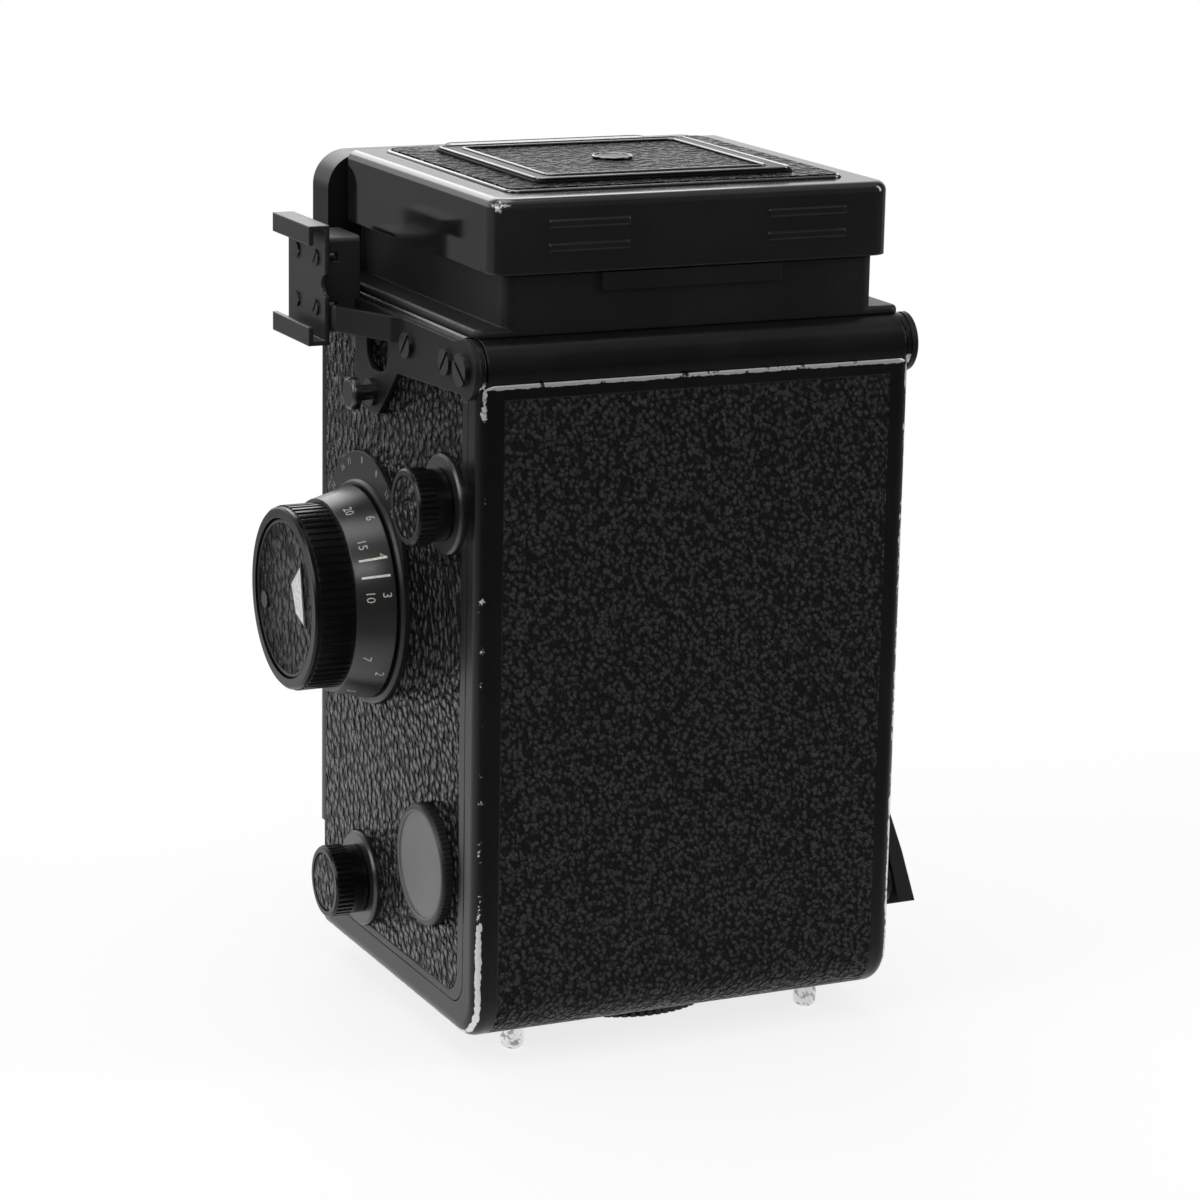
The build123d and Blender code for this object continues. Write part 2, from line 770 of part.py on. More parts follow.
def gear_face(plane, place, teeth, first_tooth):
    """Gear face with thin straight-sided teeth that leave backlash in the mesh."""
    pitch_radius = gear_module * teeth / 2
    root_radius = pitch_radius - 1.2 * gear_module
    tip_radius = pitch_radius + 0.8 * gear_module
    root_turn = 0.62 * gear_module / root_radius
    tip_turn = 0.3 * gear_module / tip_radius
    points = []
    for tooth in range(teeth):
        middle = radians(first_tooth) + 2 * pi * tooth / teeth
        for radius, turn in (
            (root_radius, -root_turn), (tip_radius, -tip_turn), (tip_radius, tip_turn), (root_radius, root_turn),
        ):
            points.append((place[0] + radius * cos(middle + turn), place[1] + radius * sin(middle + turn)))
    return polygon(plane, points)


mesh_angle = degrees(train_angle)
idler_tooth = mesh_angle + 180 + 180 / idler_teeth
idler_offset = (mesh_angle - idler_tooth) % (360 / idler_teeth)
take_up_tooth = mesh_angle + 180 + idler_offset * idler_teeth / take_up_teeth + 180 / take_up_teeth

with BuildPart() as winding_gear:
    extrude(gear_face(side_plane(-gear_x), (crank_y, crank_z), crank_teeth, mesh_angle), amount=gear_thickness)
    extrude(disc(side_plane(-gear_x), (crank_y, crank_z), crank_shaft_radius), amount=gear_thickness,
            mode=Mode.SUBTRACT)
save(winding_gear.part, "crank_gear")

with BuildPart() as middle_gear:
    extrude(gear_face(side_plane(-gear_x), (idler_y, idler_z), idler_teeth, idler_tooth), amount=gear_thickness)
    extrude(disc(side_plane(-gear_x), (idler_y, idler_z), idler_stud_radius + 0.06), amount=gear_thickness,
            mode=Mode.SUBTRACT)
save(middle_gear.part, "idler_gear")

with BuildPart() as spool_gear:
    extrude(gear_face(side_plane(-gear_x), (take_up_y, take_up_z), take_up_teeth, take_up_tooth),
            amount=gear_thickness)
    extrude(disc(side_plane(-gear_x), (take_up_y, take_up_z), spool_pin_radius),
            amount=gear_x - spool_length / 2 + 6.0)
save(spool_gear.part, "take_up_gear")

for z, name in ((upper_roller_z, "upper_film_roller"), (lower_roller_z, "lower_film_roller")):
    with BuildPart() as roller:
        extrude(disc(Plane.YZ, (roller_y, z), roller_radius), amount=inner_half_width - 0.3, both=True)
        extrude(disc(Plane.YZ, (roller_y, z), roller_pin_radius), amount=wall_x - 0.2, both=True)
    save(roller.part, name)

# ---------------------------------------------------------------- optics inside the body
mirror_low_y = mirror_box_low_z + 1.0 - mirror_rise
mirror_high_y = mirror_box_top_z - 2.0 - mirror_rise
mirror_middle_y = (mirror_low_y + mirror_high_y) / 2
mirror_length = (mirror_high_y - mirror_low_y) * sqrt(2)
mirror_plane = Plane(
    origin=(0, mirror_middle_y, mirror_line_z(mirror_middle_y, 0)), x_dir=(1, 0, 0), z_dir=(0, -1, 1)
)
with BuildPart() as glass_mirror:
    with BuildSketch(mirror_plane):
        with BuildLine():
            Polyline(
                (-mirror_width / 2, mirror_length / 2), (mirror_width / 2, mirror_length / 2),
                (mirror_width / 2 - 7, -mirror_length / 2), (7 - mirror_width / 2, -mirror_length / 2),
                close=True,
            )
        make_face()
    extrude(amount=-mirror_thickness)
save(glass_mirror.part, "mirror")

with BuildPart() as screen:
    with BuildSketch(Plane.XY.offset(deck_z - screen_thickness)):
        with Locations((0, screen_y)):
            Rectangle(screen_size, screen_size)
    extrude(amount=screen_thickness)
save(screen.part, "focusing_screen")

# ---------------------------------------------------------------- focusing drive
base_ring_x = leather_x + base_ring_height + leather_thickness
with BuildPart() as knob_base:
    extrude(disc(side_plane(leather_x), (focus_y, focus_z), base_ring_radius),
            amount=base_ring_height + leather_thickness)
    chamfer(edges().group_by(Axis.X)[-1], 0.5)
    extrude(disc(side_plane(leather_x), (focus_y, focus_z), focus_shaft_radius + 0.3),
            amount=base_ring_height + leather_thickness, mode=Mode.SUBTRACT)
save(knob_base.part, "focus_base_ring")

with BuildPart() as depth_plate:
    extrude(disc(side_plane(leather_x), (focus_y, focus_z + dial_plate_rise), dial_plate_radius),
            amount=leather_thickness + dial_plate_height)
    extrude(disc(side_plane(leather_x), (focus_y, focus_z), base_ring_radius + 0.05),
            amount=leather_thickness + dial_plate_height, mode=Mode.SUBTRACT)
save(depth_plate.part, "focus_dial_plate")

drum_x = base_ring_x + drum_gap
knob_x = drum_x + drum_length
knob_face_x = knob_x + knob_length
with BuildPart() as scale_drum:
    with BuildSketch(Plane(origin=(0, focus_y, focus_z), x_dir=(1, 0, 0), z_dir=(0, -1, 0))):
        with BuildLine():
            Polyline(
                (drum_x, focus_shaft_radius), (drum_x, drum_radius), (knob_x, drum_top_radius),
                (knob_x, focus_shaft_radius), close=True,
            )
        make_face()
    revolve(axis=Axis((0, focus_y, focus_z), (1, 0, 0)))
save(scale_drum.part, "focus_drum")

knob_dish = 0.9
with BuildPart() as focus_grip:
    extrude(knurled(side_plane(knob_x), (focus_y, focus_z), knob_radius, knob_ridges, 0.42), amount=knob_length - 1.1)
    extrude(disc(side_plane(knob_x), (focus_y, focus_z), knob_radius - 0.25), amount=knob_length)
    chamfer(edges().filter_by(GeomType.CIRCLE).group_by(Axis.X)[-1], 0.35)
    extrude(disc(side_plane(knob_face_x), (focus_y, focus_z), knob_radius - knob_rim), amount=-knob_dish,
            mode=Mode.SUBTRACT)
    extrude(disc(side_plane(knob_x), (focus_y, focus_z), focus_shaft_radius), amount=knob_length - knob_dish - 1.0,
            mode=Mode.SUBTRACT)
save(focus_grip.part, "focus_knob")

with BuildPart() as grip_insert:
    extrude(disc(side_plane(knob_face_x - knob_dish), (focus_y, focus_z), knob_insert_radius), amount=0.5)
save(grip_insert.part, "knob_insert")

cam_turn = radians(focus_turn)
cam_rate = focus_travel / cam_turn
cam_steps = 24
cam_x = cover_x - 0.9
with BuildPart() as drive_shaft:
    extrude(disc(Plane.YZ, (focus_y, focus_z), focus_shaft_radius), amount=knob_face_x - knob_dish - 1.0)
    extrude(disc(Plane.YZ, (focus_y, focus_z), focus_shaft_radius), amount=-cam_x)
    for side in (-1, 1):
        with BuildSketch(side_plane(side * cam_x)):
            with BuildLine():
                spiral_points = []
                for step in range(cam_steps + 1):
                    turn = cam_turn * step / cam_steps
                    radius = cam_base_radius + cam_rate * turn
                    spiral_points.append((focus_y + radius * cos(pi - turn), focus_z + radius * sin(pi - turn)))
                spiral = Spline(*spiral_points)
                Line(spiral @ 1, spiral @ 0)
            make_face()
        extrude(amount=-side * cam_thickness)
save(drive_shaft.part, "focus_shaft")

# ---------------------------------------------------------------- spool knobs, rings, port cover
with BuildPart() as rings:
    for y, z in ((take_up_y, take_up_z), (supply_y, supply_z)):
        extrude(ring(side_plane(leather_x), (y, z), spool_ring_radius, spool_bore),
                amount=leather_thickness + spool_ring_height)
    chamfer(edges().filter_by(GeomType.CIRCLE).group_by(Axis.X)[-1].sort_by(SortBy.RADIUS)[-2:], 0.4)
save(rings.part, "spool_knob_rings")

neck_x = half_width + spool_ring_height + 0.3
spool_face_x = half_width + spool_knob_reach
for y, z, name in (
    (take_up_y, take_up_z, "upper_spool_knob"),
    (supply_y, supply_z, "lower_spool_knob"),
):
    with BuildPart() as spool_knob:
        extrude(disc(side_plane(spool_length / 2 - 3.0), (y, z), spool_pin_radius),
                amount=neck_x - spool_length / 2 + 3.0)
        extrude(disc(side_plane(neck_x), (y, z), spool_neck_radius), amount=spool_face_x - neck_x - 0.5)
        extrude(knurled(side_plane(spool_face_x - 0.5), (y, z), spool_knob_radius, spool_knob_ridges, 0.3),
                amount=0.5 - spool_knob_length)
        extrude(disc(side_plane(spool_face_x - 0.5), (y, z), spool_knob_radius - 0.1), amount=0.5)
        chamfer(edges().filter_by(GeomType.CIRCLE).group_by(Axis.X)[-1], 0.3)
        extrude(disc(side_plane(spool_face_x), (y, z), spool_knob_radius - 1.2), amount=-0.4, mode=Mode.SUBTRACT)
    save(spool_knob.part, name)

port_x = half_width + port_height
with BuildPart() as port:
    extrude(knurled(side_plane(leather_x + 0.1), (port_y, port_z), port_radius, port_ridges, 0.25),
            amount=port_x - leather_x - 0.6)
    extrude(disc(side_plane(leather_x + 0.1), (port_y, port_z), port_radius - 0.15),
            amount=port_x - leather_x - 0.1)
    chamfer(edges().filter_by(GeomType.CIRCLE).group_by(Axis.X)[-1], 0.3)
    extrude(disc(side_plane(port_x), (port_y, port_z), port_radius - 1.3), amount=-0.25, mode=Mode.SUBTRACT)
    extrude(disc(side_plane(leather_x + 0.1), (port_y, port_z), port_core_radius), amount=-cover_thickness)
save(port.part, "port_cover")


# ---------------------------------------------------------------- winding crank
arm_length = hypot(crank_tip_y - crank_y, crank_tip_z - crank_z)
arm_y = (crank_tip_y - crank_y) / arm_length
arm_z = (crank_tip_z - crank_z) / arm_length
fold_x = leather_x + leather_thickness + crank_axis_reach
hub_x = half_width + 0.1
hub_top_x = hub_x + crank_hub_height
# local x runs along the folded arm, local y runs outward, the normal is the fold axis
arm_plane = Plane(origin=(0, crank_y, crank_z), x_dir=(0, arm_y, arm_z), z_dir=(0, -arm_z, arm_y))
ear_gap = 2.9
ear_thickness = 1.5
ear_radius = 2.0

with BuildPart() as hub:
    extrude(disc(side_plane(-hub_x), (crank_y, crank_z), crank_hub_radius), amount=-crank_hub_height)
    chamfer(edges().group_by(Axis.X)[0], 0.4)
    extrude(disc(side_plane(-hub_x), (crank_y, crank_z), crank_shaft_radius), amount=hub_x - gear_x + gear_thickness)
    for side in (-1, 1):
        with BuildSketch(arm_plane.offset(side * ear_gap)):
            with Locations((0, fold_x)):
                Circle(ear_radius)
            with Locations((0, (fold_x + hub_top_x - 0.5) / 2)):
                Rectangle(2 * ear_radius, fold_x - hub_top_x + 0.5)
        extrude(amount=side * ear_thickness)
    with BuildSketch(arm_plane):
        with Locations((0, fold_x)):
            Circle(hinge_pin_radius / 2)
    extrude(amount=ear_gap + ear_thickness, both=True)
save(hub.part, "crank_hub")

tip_x = half_width + crank_tip_reach
arm_top_x = fold_x + crank_arm_thickness / 2
arm_low_x = fold_x - crank_arm_thickness / 2
flare_end = arm_length - crank_tip_length
handle_run = arm_length - crank_handle_radius - 0.6
handle_y = crank_y + arm_y * handle_run
handle_z = crank_z + arm_z * handle_run
with BuildPart() as arm:
    with BuildSketch(arm_plane):
        with BuildLine():
            Polyline(
                (0, arm_low_x), (crank_flare_start, arm_low_x), (flare_end, tip_x - crank_tip_thickness - 0.6),
                (arm_length, tip_x - crank_tip_thickness), (arm_length, tip_x), (flare_end, tip_x - 1.1),
                (crank_flare_start, arm_top_x), (0, arm_top_x), close=True,
            )
        make_face()
        with Locations((0, fold_x)):
            Circle(crank_eye_radius)
    extrude(amount=crank_arm_width / 2, both=True)
    for side in (-1, 1):
        with BuildSketch(arm_plane.offset(side * (ear_gap - 0.25))):
            with Locations((0, fold_x)):
                Rectangle(2 * (ear_radius + 0.5), 3 * ear_radius)
        extrude(amount=side * crank_arm_width, mode=Mode.SUBTRACT)
    with BuildSketch(arm_plane):
        with Locations((0, fold_x)):
            Circle(hinge_pin_radius / 2 + 0.06)
    extrude(amount=crank_arm_width, both=True, mode=Mode.SUBTRACT)
    extrude(disc(side_plane(-tip_x), (handle_y, handle_z), handle_pin_radius + 0.06), amount=2 * crank_tip_thickness,
            mode=Mode.SUBTRACT)
save(arm.part, "crank_arm")

handle_top_x = tip_x - crank_tip_thickness - 0.7
with BuildPart() as handle:
    extrude(disc(side_plane(-half_width - 0.5), (handle_y, handle_z), crank_handle_radius),
            amount=half_width + 0.5 - handle_top_x)
    fillet(edges().group_by(Axis.X)[-1], 0.8)
    extrude(disc(side_plane(-handle_top_x), (handle_y, handle_z), handle_pin_radius),
            amount=handle_top_x - tip_x)
save(handle.part, "crank_handle")

# ---------------------------------------------------------------- strap plates, screws and studs
plate_top_z = deck_z - 0.9
plate_x = half_width + strap_plate_thickness
clip_y = strap_front_y + 20.6
for side, name in ((1, "left_strap_plate"), (-1, "right_strap_plate")):
    inner = side_plane(side * half_width)
    with BuildPart() as strap_plate:
        with BuildSketch(inner):
            with BuildLine():
                Polyline(
                    (hinge_y, hinge_z + hinge_radius), (hinge_y - 4.0, plate_top_z), (strap_front_y, plate_top_z),
                    (strap_front_y, strap_tip[1] + 3.0), (strap_front_y + 1.6, strap_tip[1] + 0.6),
                    (strap_tip[0] - 2.0, strap_tip[1] - 0.2), (strap_tip[0] + 1.6, strap_tip[1] + 0.2),
                    (strap_tip[0] + 9.9, strap_tip[1] + 8.6), (hinge_y - 1.5, hinge_z - hinge_radius + 0.8), (hinge_y, hinge_z - hinge_radius),
                )
                ThreePointArc(
                    (hinge_y, hinge_z - hinge_radius), (hinge_y + hinge_radius, hinge_z),
                    (hinge_y, hinge_z + hinge_radius),
                )
            make_face()
            with Locations((strap_front_y + 10.0, deck_z - 7.5)):
                RectangleRounded(9.4, 8.4, 3.4, mode=Mode.SUBTRACT)
            for y, z in strap_screws:
                with Locations((y, z)):
                    Circle(strap_screw_shank + 0.06, mode=Mode.SUBTRACT)
            with Locations((hinge_y, hinge_z)):
                Circle(hinge_pin_radius, mode=Mode.SUBTRACT)
            with Locations(stud_place):
                Circle(stud_shank + 0.05, mode=Mode.SUBTRACT)
        extrude(amount=side * strap_plate_thickness)
        # bent clip strip that stands off the plate and runs forward
        with BuildSketch(Plane.XY.offset(plate_top_z - 4.2)):
            with BuildLine():
                Polyline(
                    (side * (plate_x - 0.2), clip_y - 3.0), (side * (plate_x - 0.2), clip_y),
                    (side * (plate_x + 1.4), clip_y - 1.2), (side * (plate_x + 6.4), clip_y - 13.4),
                    (side * (plate_x + 6.2), clip_y - 16.0), (side * (plate_x + 5.2), clip_y - 16.0),
                    (side * (plate_x + 5.4), clip_y - 13.2), (side * (plate_x + 0.6), clip_y - 2.2),
                    close=True,
                )
            make_face()
        extrude(amount=4.2)
    save(strap_plate.part, name)

with BuildPart() as small_screws:
    for side in (-1, 1):
        for y, z in strap_screws:
            extrude(disc(side_plane(side * plate_x), (y, z), strap_screw_radius), amount=side * 0.7)
            with BuildSketch(side_plane(side * (plate_x + 0.7))):
                with Locations((y, z)):
                    Rectangle(2 * strap_screw_radius + 0.4, 0.6, rotation=20 + 30 * side)
            extrude(amount=-side * 0.4, mode=Mode.SUBTRACT)
            extrude(disc(side_plane(side * plate_x), (y, z), strap_screw_shank),
                    amount=side * (cover_x - plate_x))
save(small_screws.part, "plate_screws")

with BuildPart() as pins:
    for side in (-1, 1):
        extrude(disc(side_plane(side * plate_x), (hinge_y, hinge_z), 2.7), amount=side * 0.9)
        with BuildSketch(side_plane(side * (plate_x + 0.9))):
            with Locations((hinge_y, hinge_z)):
                Rectangle(6.0, 0.7, rotation=-35)
        extrude(amount=-side * 0.5, mode=Mode.SUBTRACT)
        extrude(disc(side_plane(side * plate_x), (hinge_y, hinge_z), hinge_pin_radius), amount=-side * 8.0)
save(pins.part, "hinge_pins")

with BuildPart() as studs:
    for side in (-1, 1):
        extrude(disc(side_plane(side * leather_x), stud_place, stud_shank),
                amount=side * (stud_reach + leather_thickness))
        extrude(disc(side_plane(side * (half_width + stud_reach - 1.6)), stud_place, stud_head_radius),
                amount=side * 1.6)
        extrude(disc(side_plane(side * plate_x), stud_place, 2.4), amount=side * 0.8)
    for face_x in (-1, 1):
        fillet(edges().filter_by(GeomType.CIRCLE).group_by(Axis.X)[-1 if face_x > 0 else 0], 0.7)
save(studs.part, "strap_studs")

# ---------------------------------------------------------------- accessory shoe
shoe_rear_y = shoe_base_y + shoe_length
shoe_mid_y = (shoe_base_y + shoe_rear_y) / 2
shoe_mid_z = shoe_base_z + shoe_height / 2
shoe_top_z = shoe_base_z + shoe_height
shoe_x = half_width + shoe_standoff
shoe_face_x = shoe_x + shoe_sheet
with BuildPart() as shoe:
    extrude(box_face(side_plane(shoe_x), (shoe_base_y, shoe_base_z), (shoe_rear_y, shoe_top_z), 1.0),
            amount=shoe_sheet)
    for low, high in (
        ((shoe_base_y, shoe_base_z), (shoe_rear_y, shoe_base_z + shoe_sheet)),
        ((shoe_base_y, shoe_top_z - shoe_sheet), (shoe_rear_y, shoe_top_z)),
    ):
        extrude(box_face(side_plane(shoe_x), low, high), amount=shoe_sheet + shoe_slot)
    for low, high in (
        ((shoe_base_y, shoe_base_z), (shoe_rear_y, shoe_base_z + shoe_lip)),
        ((shoe_base_y, shoe_top_z - shoe_lip), (shoe_rear_y, shoe_top_z)),
    ):
        extrude(box_face(side_plane(shoe_face_x + shoe_slot - shoe_sheet), low, high), amount=shoe_sheet)
    # foot that stands the shoe off the body
    extrude(box_face(side_plane(half_width), (shoe_base_y + 2.5, shoe_base_z + 1.4),
                     (shoe_rear_y - 3.7, shoe_top_z - 2.6), 1.0), amount=shoe_standoff)
    # finger notch in the rear edge
    extrude(disc(side_plane(shoe_x), (shoe_rear_y, shoe_mid_z), 1.9), amount=shoe_sheet, mode=Mode.SUBTRACT)
    for y in (-4.6, 4.6):
        for z in (-4.2, 4.2):
            extrude(disc(side_plane(shoe_x - 3), (shoe_mid_y + y, shoe_mid_z + z), 0.8), amount=shoe_sheet + 3,
                    mode=Mode.SUBTRACT)
save(shoe.part, "accessory_shoe")

with BuildPart() as shoe_fasteners:
    for y in (-4.6, 4.6):
        for z in (-4.2, 4.2):
            place = (shoe_mid_y + y, shoe_mid_z + z)
            extrude(disc(side_plane(shoe_face_x), place, 1.4), amount=0.35)
            extrude(disc(side_plane(shoe_face_x), place, 0.8), amount=-3.0)
            with BuildSketch(side_plane(shoe_face_x + 0.35)):
                with Locations(place):
                    Rectangle(3.2, 0.45, rotation=25 + 6 * y)
            extrude(amount=-0.2, mode=Mode.SUBTRACT)
save(shoe_fasteners.part, "shoe_screws")

# ---------------------------------------------------------------- folding hood
hood_base_top = deck_z + hood_flange_thickness
ring_top_z = deck_z + hood_ring_height
lid_base_z = ring_top_z + lid_gap
lid_top_z = lid_base_z + lid_height
lid_rear_y = hood_rear_y + lid_overhang
lid_hinge_y = hood_front_y + 0.6
lid_hinge_z = lid_top_z - 1.8
hood_mid_y = (hood_front_y + hood_rear_y) / 2
hood_depth = hood_rear_y - hood_front_y
with BuildPart() as hood_frame:
    with BuildSketch(Plane.XY.offset(deck_z)):
        with Locations((0, hood_mid_y)):
            RectangleRounded(2 * hood_flange_half, hood_depth, 1.5)
    extrude(amount=hood_flange_thickness)
    fillet(edges().filter_by(Axis.Y).group_by(Axis.Z)[-1], 0.8)
    with BuildSketch(Plane.XY.offset(deck_z)):
        with Locations((0, hood_mid_y)):
            RectangleRounded(2 * hood_half_width, hood_depth, 2.0)
    extrude(amount=hood_ring_height)
    # front wall that carries the lid's hinge
    with BuildSketch(Plane.XY.offset(deck_z)):
        with Locations((0, hood_front_y + hood_wall / 2)):
            Rectangle(2 * hood_half_width, hood_wall)
    extrude(amount=lid_hinge_z - deck_z - 1.3)
    extrude(disc(Plane.YZ, (lid_hinge_y, lid_hinge_z), lid_knuckle), amount=12.0, both=True)
    extrude(box_face(Plane.YZ, (hood_front_y, lid_hinge_z - 1.6), (hood_front_y + hood_wall, lid_hinge_z)),
            amount=12.0, both=True)
    with BuildSketch(Plane.XY.offset(hood_base_top)):
        with Locations((0, hood_mid_y)):
            Rectangle(2 * (hood_half_width - hood_wall), hood_depth - 2 * hood_wall)
    extrude(amount=hood_ring_height, mode=Mode.SUBTRACT)
    with BuildSketch(Plane.XY.offset(deck_z)):
        with Locations((0, screen_y)):
            Rectangle(screen_size - 1.2, screen_size - 1.2)
    extrude(amount=hood_flange_thickness, mode=Mode.SUBTRACT)
    # raised bar on the rear wall
    with BuildSketch(Plane.XZ.offset(-hood_rear_y)):
        with Locations((0.5, deck_z + 8.3)):
            Rectangle(32.6, 3.0)
    extrude(amount=-0.6)
    extrude(disc(Plane.YZ, (lid_hinge_y, lid_hinge_z), lid_pin_radius + 0.06), amount=12.0, both=True,
            mode=Mode.SUBTRACT)
save(hood_frame.part, "hood_base")

with BuildPart() as lid:
    with BuildSketch(Plane.XY.offset(lid_base_z)):
        with Locations((0, (hood_front_y + lid_rear_y) / 2)):
            Rectangle(2 * lid_half_width, lid_rear_y - hood_front_y)
    extrude(amount=lid_height)
    rear_corners = edges().filter_by(Axis.Z).group_by(Axis.Y)[-1]
    fillet(rear_corners, lid_corner)
    fillet(faces().sort_by(Axis.Z)[-1].edges().filter_by(lambda e: e.center().Y > hood_front_y + 0.1), 1.6)
    with BuildSketch(Plane.XY.offset(lid_base_z)):
        with Locations((0, (hood_front_y + lid_rear_y) / 2 - lid_sheet)):
            Rectangle(2 * (lid_half_width - lid_sheet), lid_rear_y - hood_front_y)
        fillet(vertices().group_by(Axis.Y)[-1], lid_corner - lid_sheet)
    extrude(amount=lid_height - lid_sheet, mode=Mode.SUBTRACT)
    for side in (-1, 1):
        for low, high in ((12.4, hood_half_width - 0.6),):
            with BuildSketch(side_plane(side * low)):
                with Locations((lid_hinge_y, lid_hinge_z)):
                    Circle(lid_knuckle)
                with Locations((lid_hinge_y, lid_hinge_z + 0.5)):
                    Rectangle(2 * lid_knuckle, 1.0)
            extrude(amount=side * (high - low))
    extrude(box_face(Plane.YZ, (hood_front_y - 1, lid_hinge_z - 1), (lid_hinge_y + 1.3, lid_top_z + 1)),
            amount=12.2, both=True, mode=Mode.SUBTRACT)
    extrude(disc(Plane.YZ, (lid_hinge_y, lid_hinge_z), lid_pin_radius), amount=hood_half_width - 0.6, both=True)
    # pairs of ribs across the rear face
    for x in (19.4, -20.0):
        for z in (lid_top_z - 4.2, lid_top_z - 8.0):
            with BuildSketch(Plane.XZ.offset(-lid_rear_y)):
                with Locations((x, z)):
                    Rectangle(14.2, 1.1)
            extrude(amount=-0.4)
save(lid.part, "hood_lid")

leather_front_y = hood_front_y + 3.5
leather_rear_y = lid_rear_y - lid_leather_margin - 1.5
finder_mid_y = (finder_front_y + finder_rear_y) / 2
finder_depth = finder_rear_y - finder_front_y
finder_top_z = lid_top_z + finder_rise
with BuildPart() as lid_skins:
    with BuildSketch(Plane.XY.offset(lid_top_z)):
        with Locations((0, (leather_front_y + leather_rear_y) / 2)):
            RectangleRounded(2 * lid_leather_half, leather_rear_y - leather_front_y, 1.5)
        with Locations((0, finder_mid_y)):
            RectangleRounded(2 * finder_half + 0.3, finder_depth + 0.3, 1.2, mode=Mode.SUBTRACT)
    extrude(amount=leather_thickness)
    with BuildSketch(Plane.XY.offset(finder_top_z - 0.5)):
        with Locations((0, finder_mid_y)):
            RectangleRounded(2 * (finder_half - finder_rim), finder_depth - 2 * finder_rim, 1.0)
    extrude(amount=0.4)
save(lid_skins.part, "lid_leather")

with BuildPart() as finder:
    with BuildSketch(Plane.XY.offset(lid_top_z)):
        with Locations((0, finder_mid_y)):
            RectangleRounded(2 * finder_half, finder_depth, 1.2)
    extrude(amount=finder_rise)
    chamfer(faces().sort_by(Axis.Z)[-1].edges(), 0.4)
    with BuildSketch(Plane.XY.offset(finder_top_z)):
        with Locations((0, finder_mid_y)):
            RectangleRounded(2 * (finder_half - finder_rim + 0.1), finder_depth - 2 * finder_rim + 0.2, 1.0)
    extrude(amount=-0.5, mode=Mode.SUBTRACT)
save(finder.part, "finder_frame")

# magnifier folded flat under the lid
magnifier_y = screen_y - 2.0
lid_under_z = lid_top_z - lid_sheet
with BuildPart() as loupe:
    with BuildSketch(Plane.XY.offset(lid_under_z)):
        with Locations((0, magnifier_y)):
            Circle(14.0)
        with Locations((0, (magnifier_y + lid_hinge_y + 5) / 2)):
            Rectangle(18.0, magnifier_y - lid_hinge_y - 5)
    extrude(amount=-1.2)
    with BuildSketch(Plane.XY.offset(lid_under_z - 1.2)):
        with Locations((0, magnifier_y)):
            Circle(13.0)
    extrude(amount=-1.8, taper=12)
save(loupe.part, "magnifier")

panel_hinge_z = hood_base_top + 0.3 + panel_knuckle
side_hinge_x = hood_half_width - hood_wall - 0.3 - panel_knuckle
rear_hinge_y = hood_rear_y - hood_wall - 0.3 - panel_knuckle
panel_front = hood_front_y + hood_wall + 0.4
panel_low_z = panel_hinge_z - panel_sheet / 2
corner_gap = 1.2
for side, name in ((1, "left_hood_panel"), (-1, "right_hood_panel")):
    with BuildPart() as side_leaf:
        with BuildSketch(Plane.XY.offset(panel_low_z)):
            with BuildLine():
                Polyline(
                    (side * side_hinge_x, panel_front), (side * side_hinge_x, rear_hinge_y - corner_gap),
                    (side * (side_hinge_x - panel_reach), rear_hinge_y - corner_gap - panel_reach),
                    (side * (side_hinge_x - panel_reach), panel_front + 6.5),
                    (side * (side_hinge_x - panel_reach / 2), panel_front), close=True,
                )
            make_face()
        extrude(amount=panel_sheet)
        with BuildSketch(front_plane(panel_front)):
            with Locations((side * side_hinge_x, panel_hinge_z)):
                Circle(panel_knuckle)
        extrude(amount=-(rear_hinge_y - corner_gap - panel_front))
    save(side_leaf.part, name)

with BuildPart() as rear_leaf:
    with BuildSketch(Plane.XY.offset(panel_low_z)):
        with BuildLine():
            Polyline(
                (side_hinge_x - corner_gap, rear_hinge_y), (corner_gap - side_hinge_x, rear_hinge_y),
                (corner_gap - side_hinge_x + panel_reach, rear_hinge_y - panel_reach),
                (side_hinge_x - corner_gap - panel_reach, rear_hinge_y - panel_reach), close=True,
            )
        make_face()
    extrude(amount=panel_sheet)
    extrude(disc(Plane.YZ, (rear_hinge_y, panel_hinge_z), panel_knuckle), amount=side_hinge_x - corner_gap,
            both=True)
save(rear_leaf.part, "rear_hood_panel")

# ---------------------------------------------------------------- meter housing
with BuildPart() as meter_shell:
    with BuildSketch(front_plane(meter_rear_y)):
        with Locations((0, (meter_top_z + deck_z) / 2)):
            Rectangle(2 * meter_half_width, meter_top_z - deck_z)
        fillet(vertices().group_by(Axis.Y)[-1], meter_corner)
    extrude(amount=meter_rear_y - meter_front_y)
    extrude(box_face(front_plane(front_y - 0.1), (-meter_half_width, meter_base_z), (meter_half_width, deck_z)),
            amount=front_y - 0.1 - meter_front_y)
    fillet(faces().sort_by(Axis.Y)[0].edges().filter_by(lambda e: e.center().Z > meter_base_z + 1), 1.2)
    with BuildSketch(front_plane(meter_front_y)):
        with Locations((0, meter_top_z - 9.5)):
            RectangleRounded(60.0, 12.0, 2.0)
    extrude(amount=-2.2, mode=Mode.SUBTRACT)
save(meter_shell.part, "meter_housing")

with BuildPart() as cell:
    with BuildSketch(front_plane(meter_front_y + 2.2)):
        with Locations((0, meter_top_z - 9.5)):
            RectangleRounded(59.8, 11.8, 1.9)
    extrude(amount=1.8)
save(cell.part, "meter_cell")

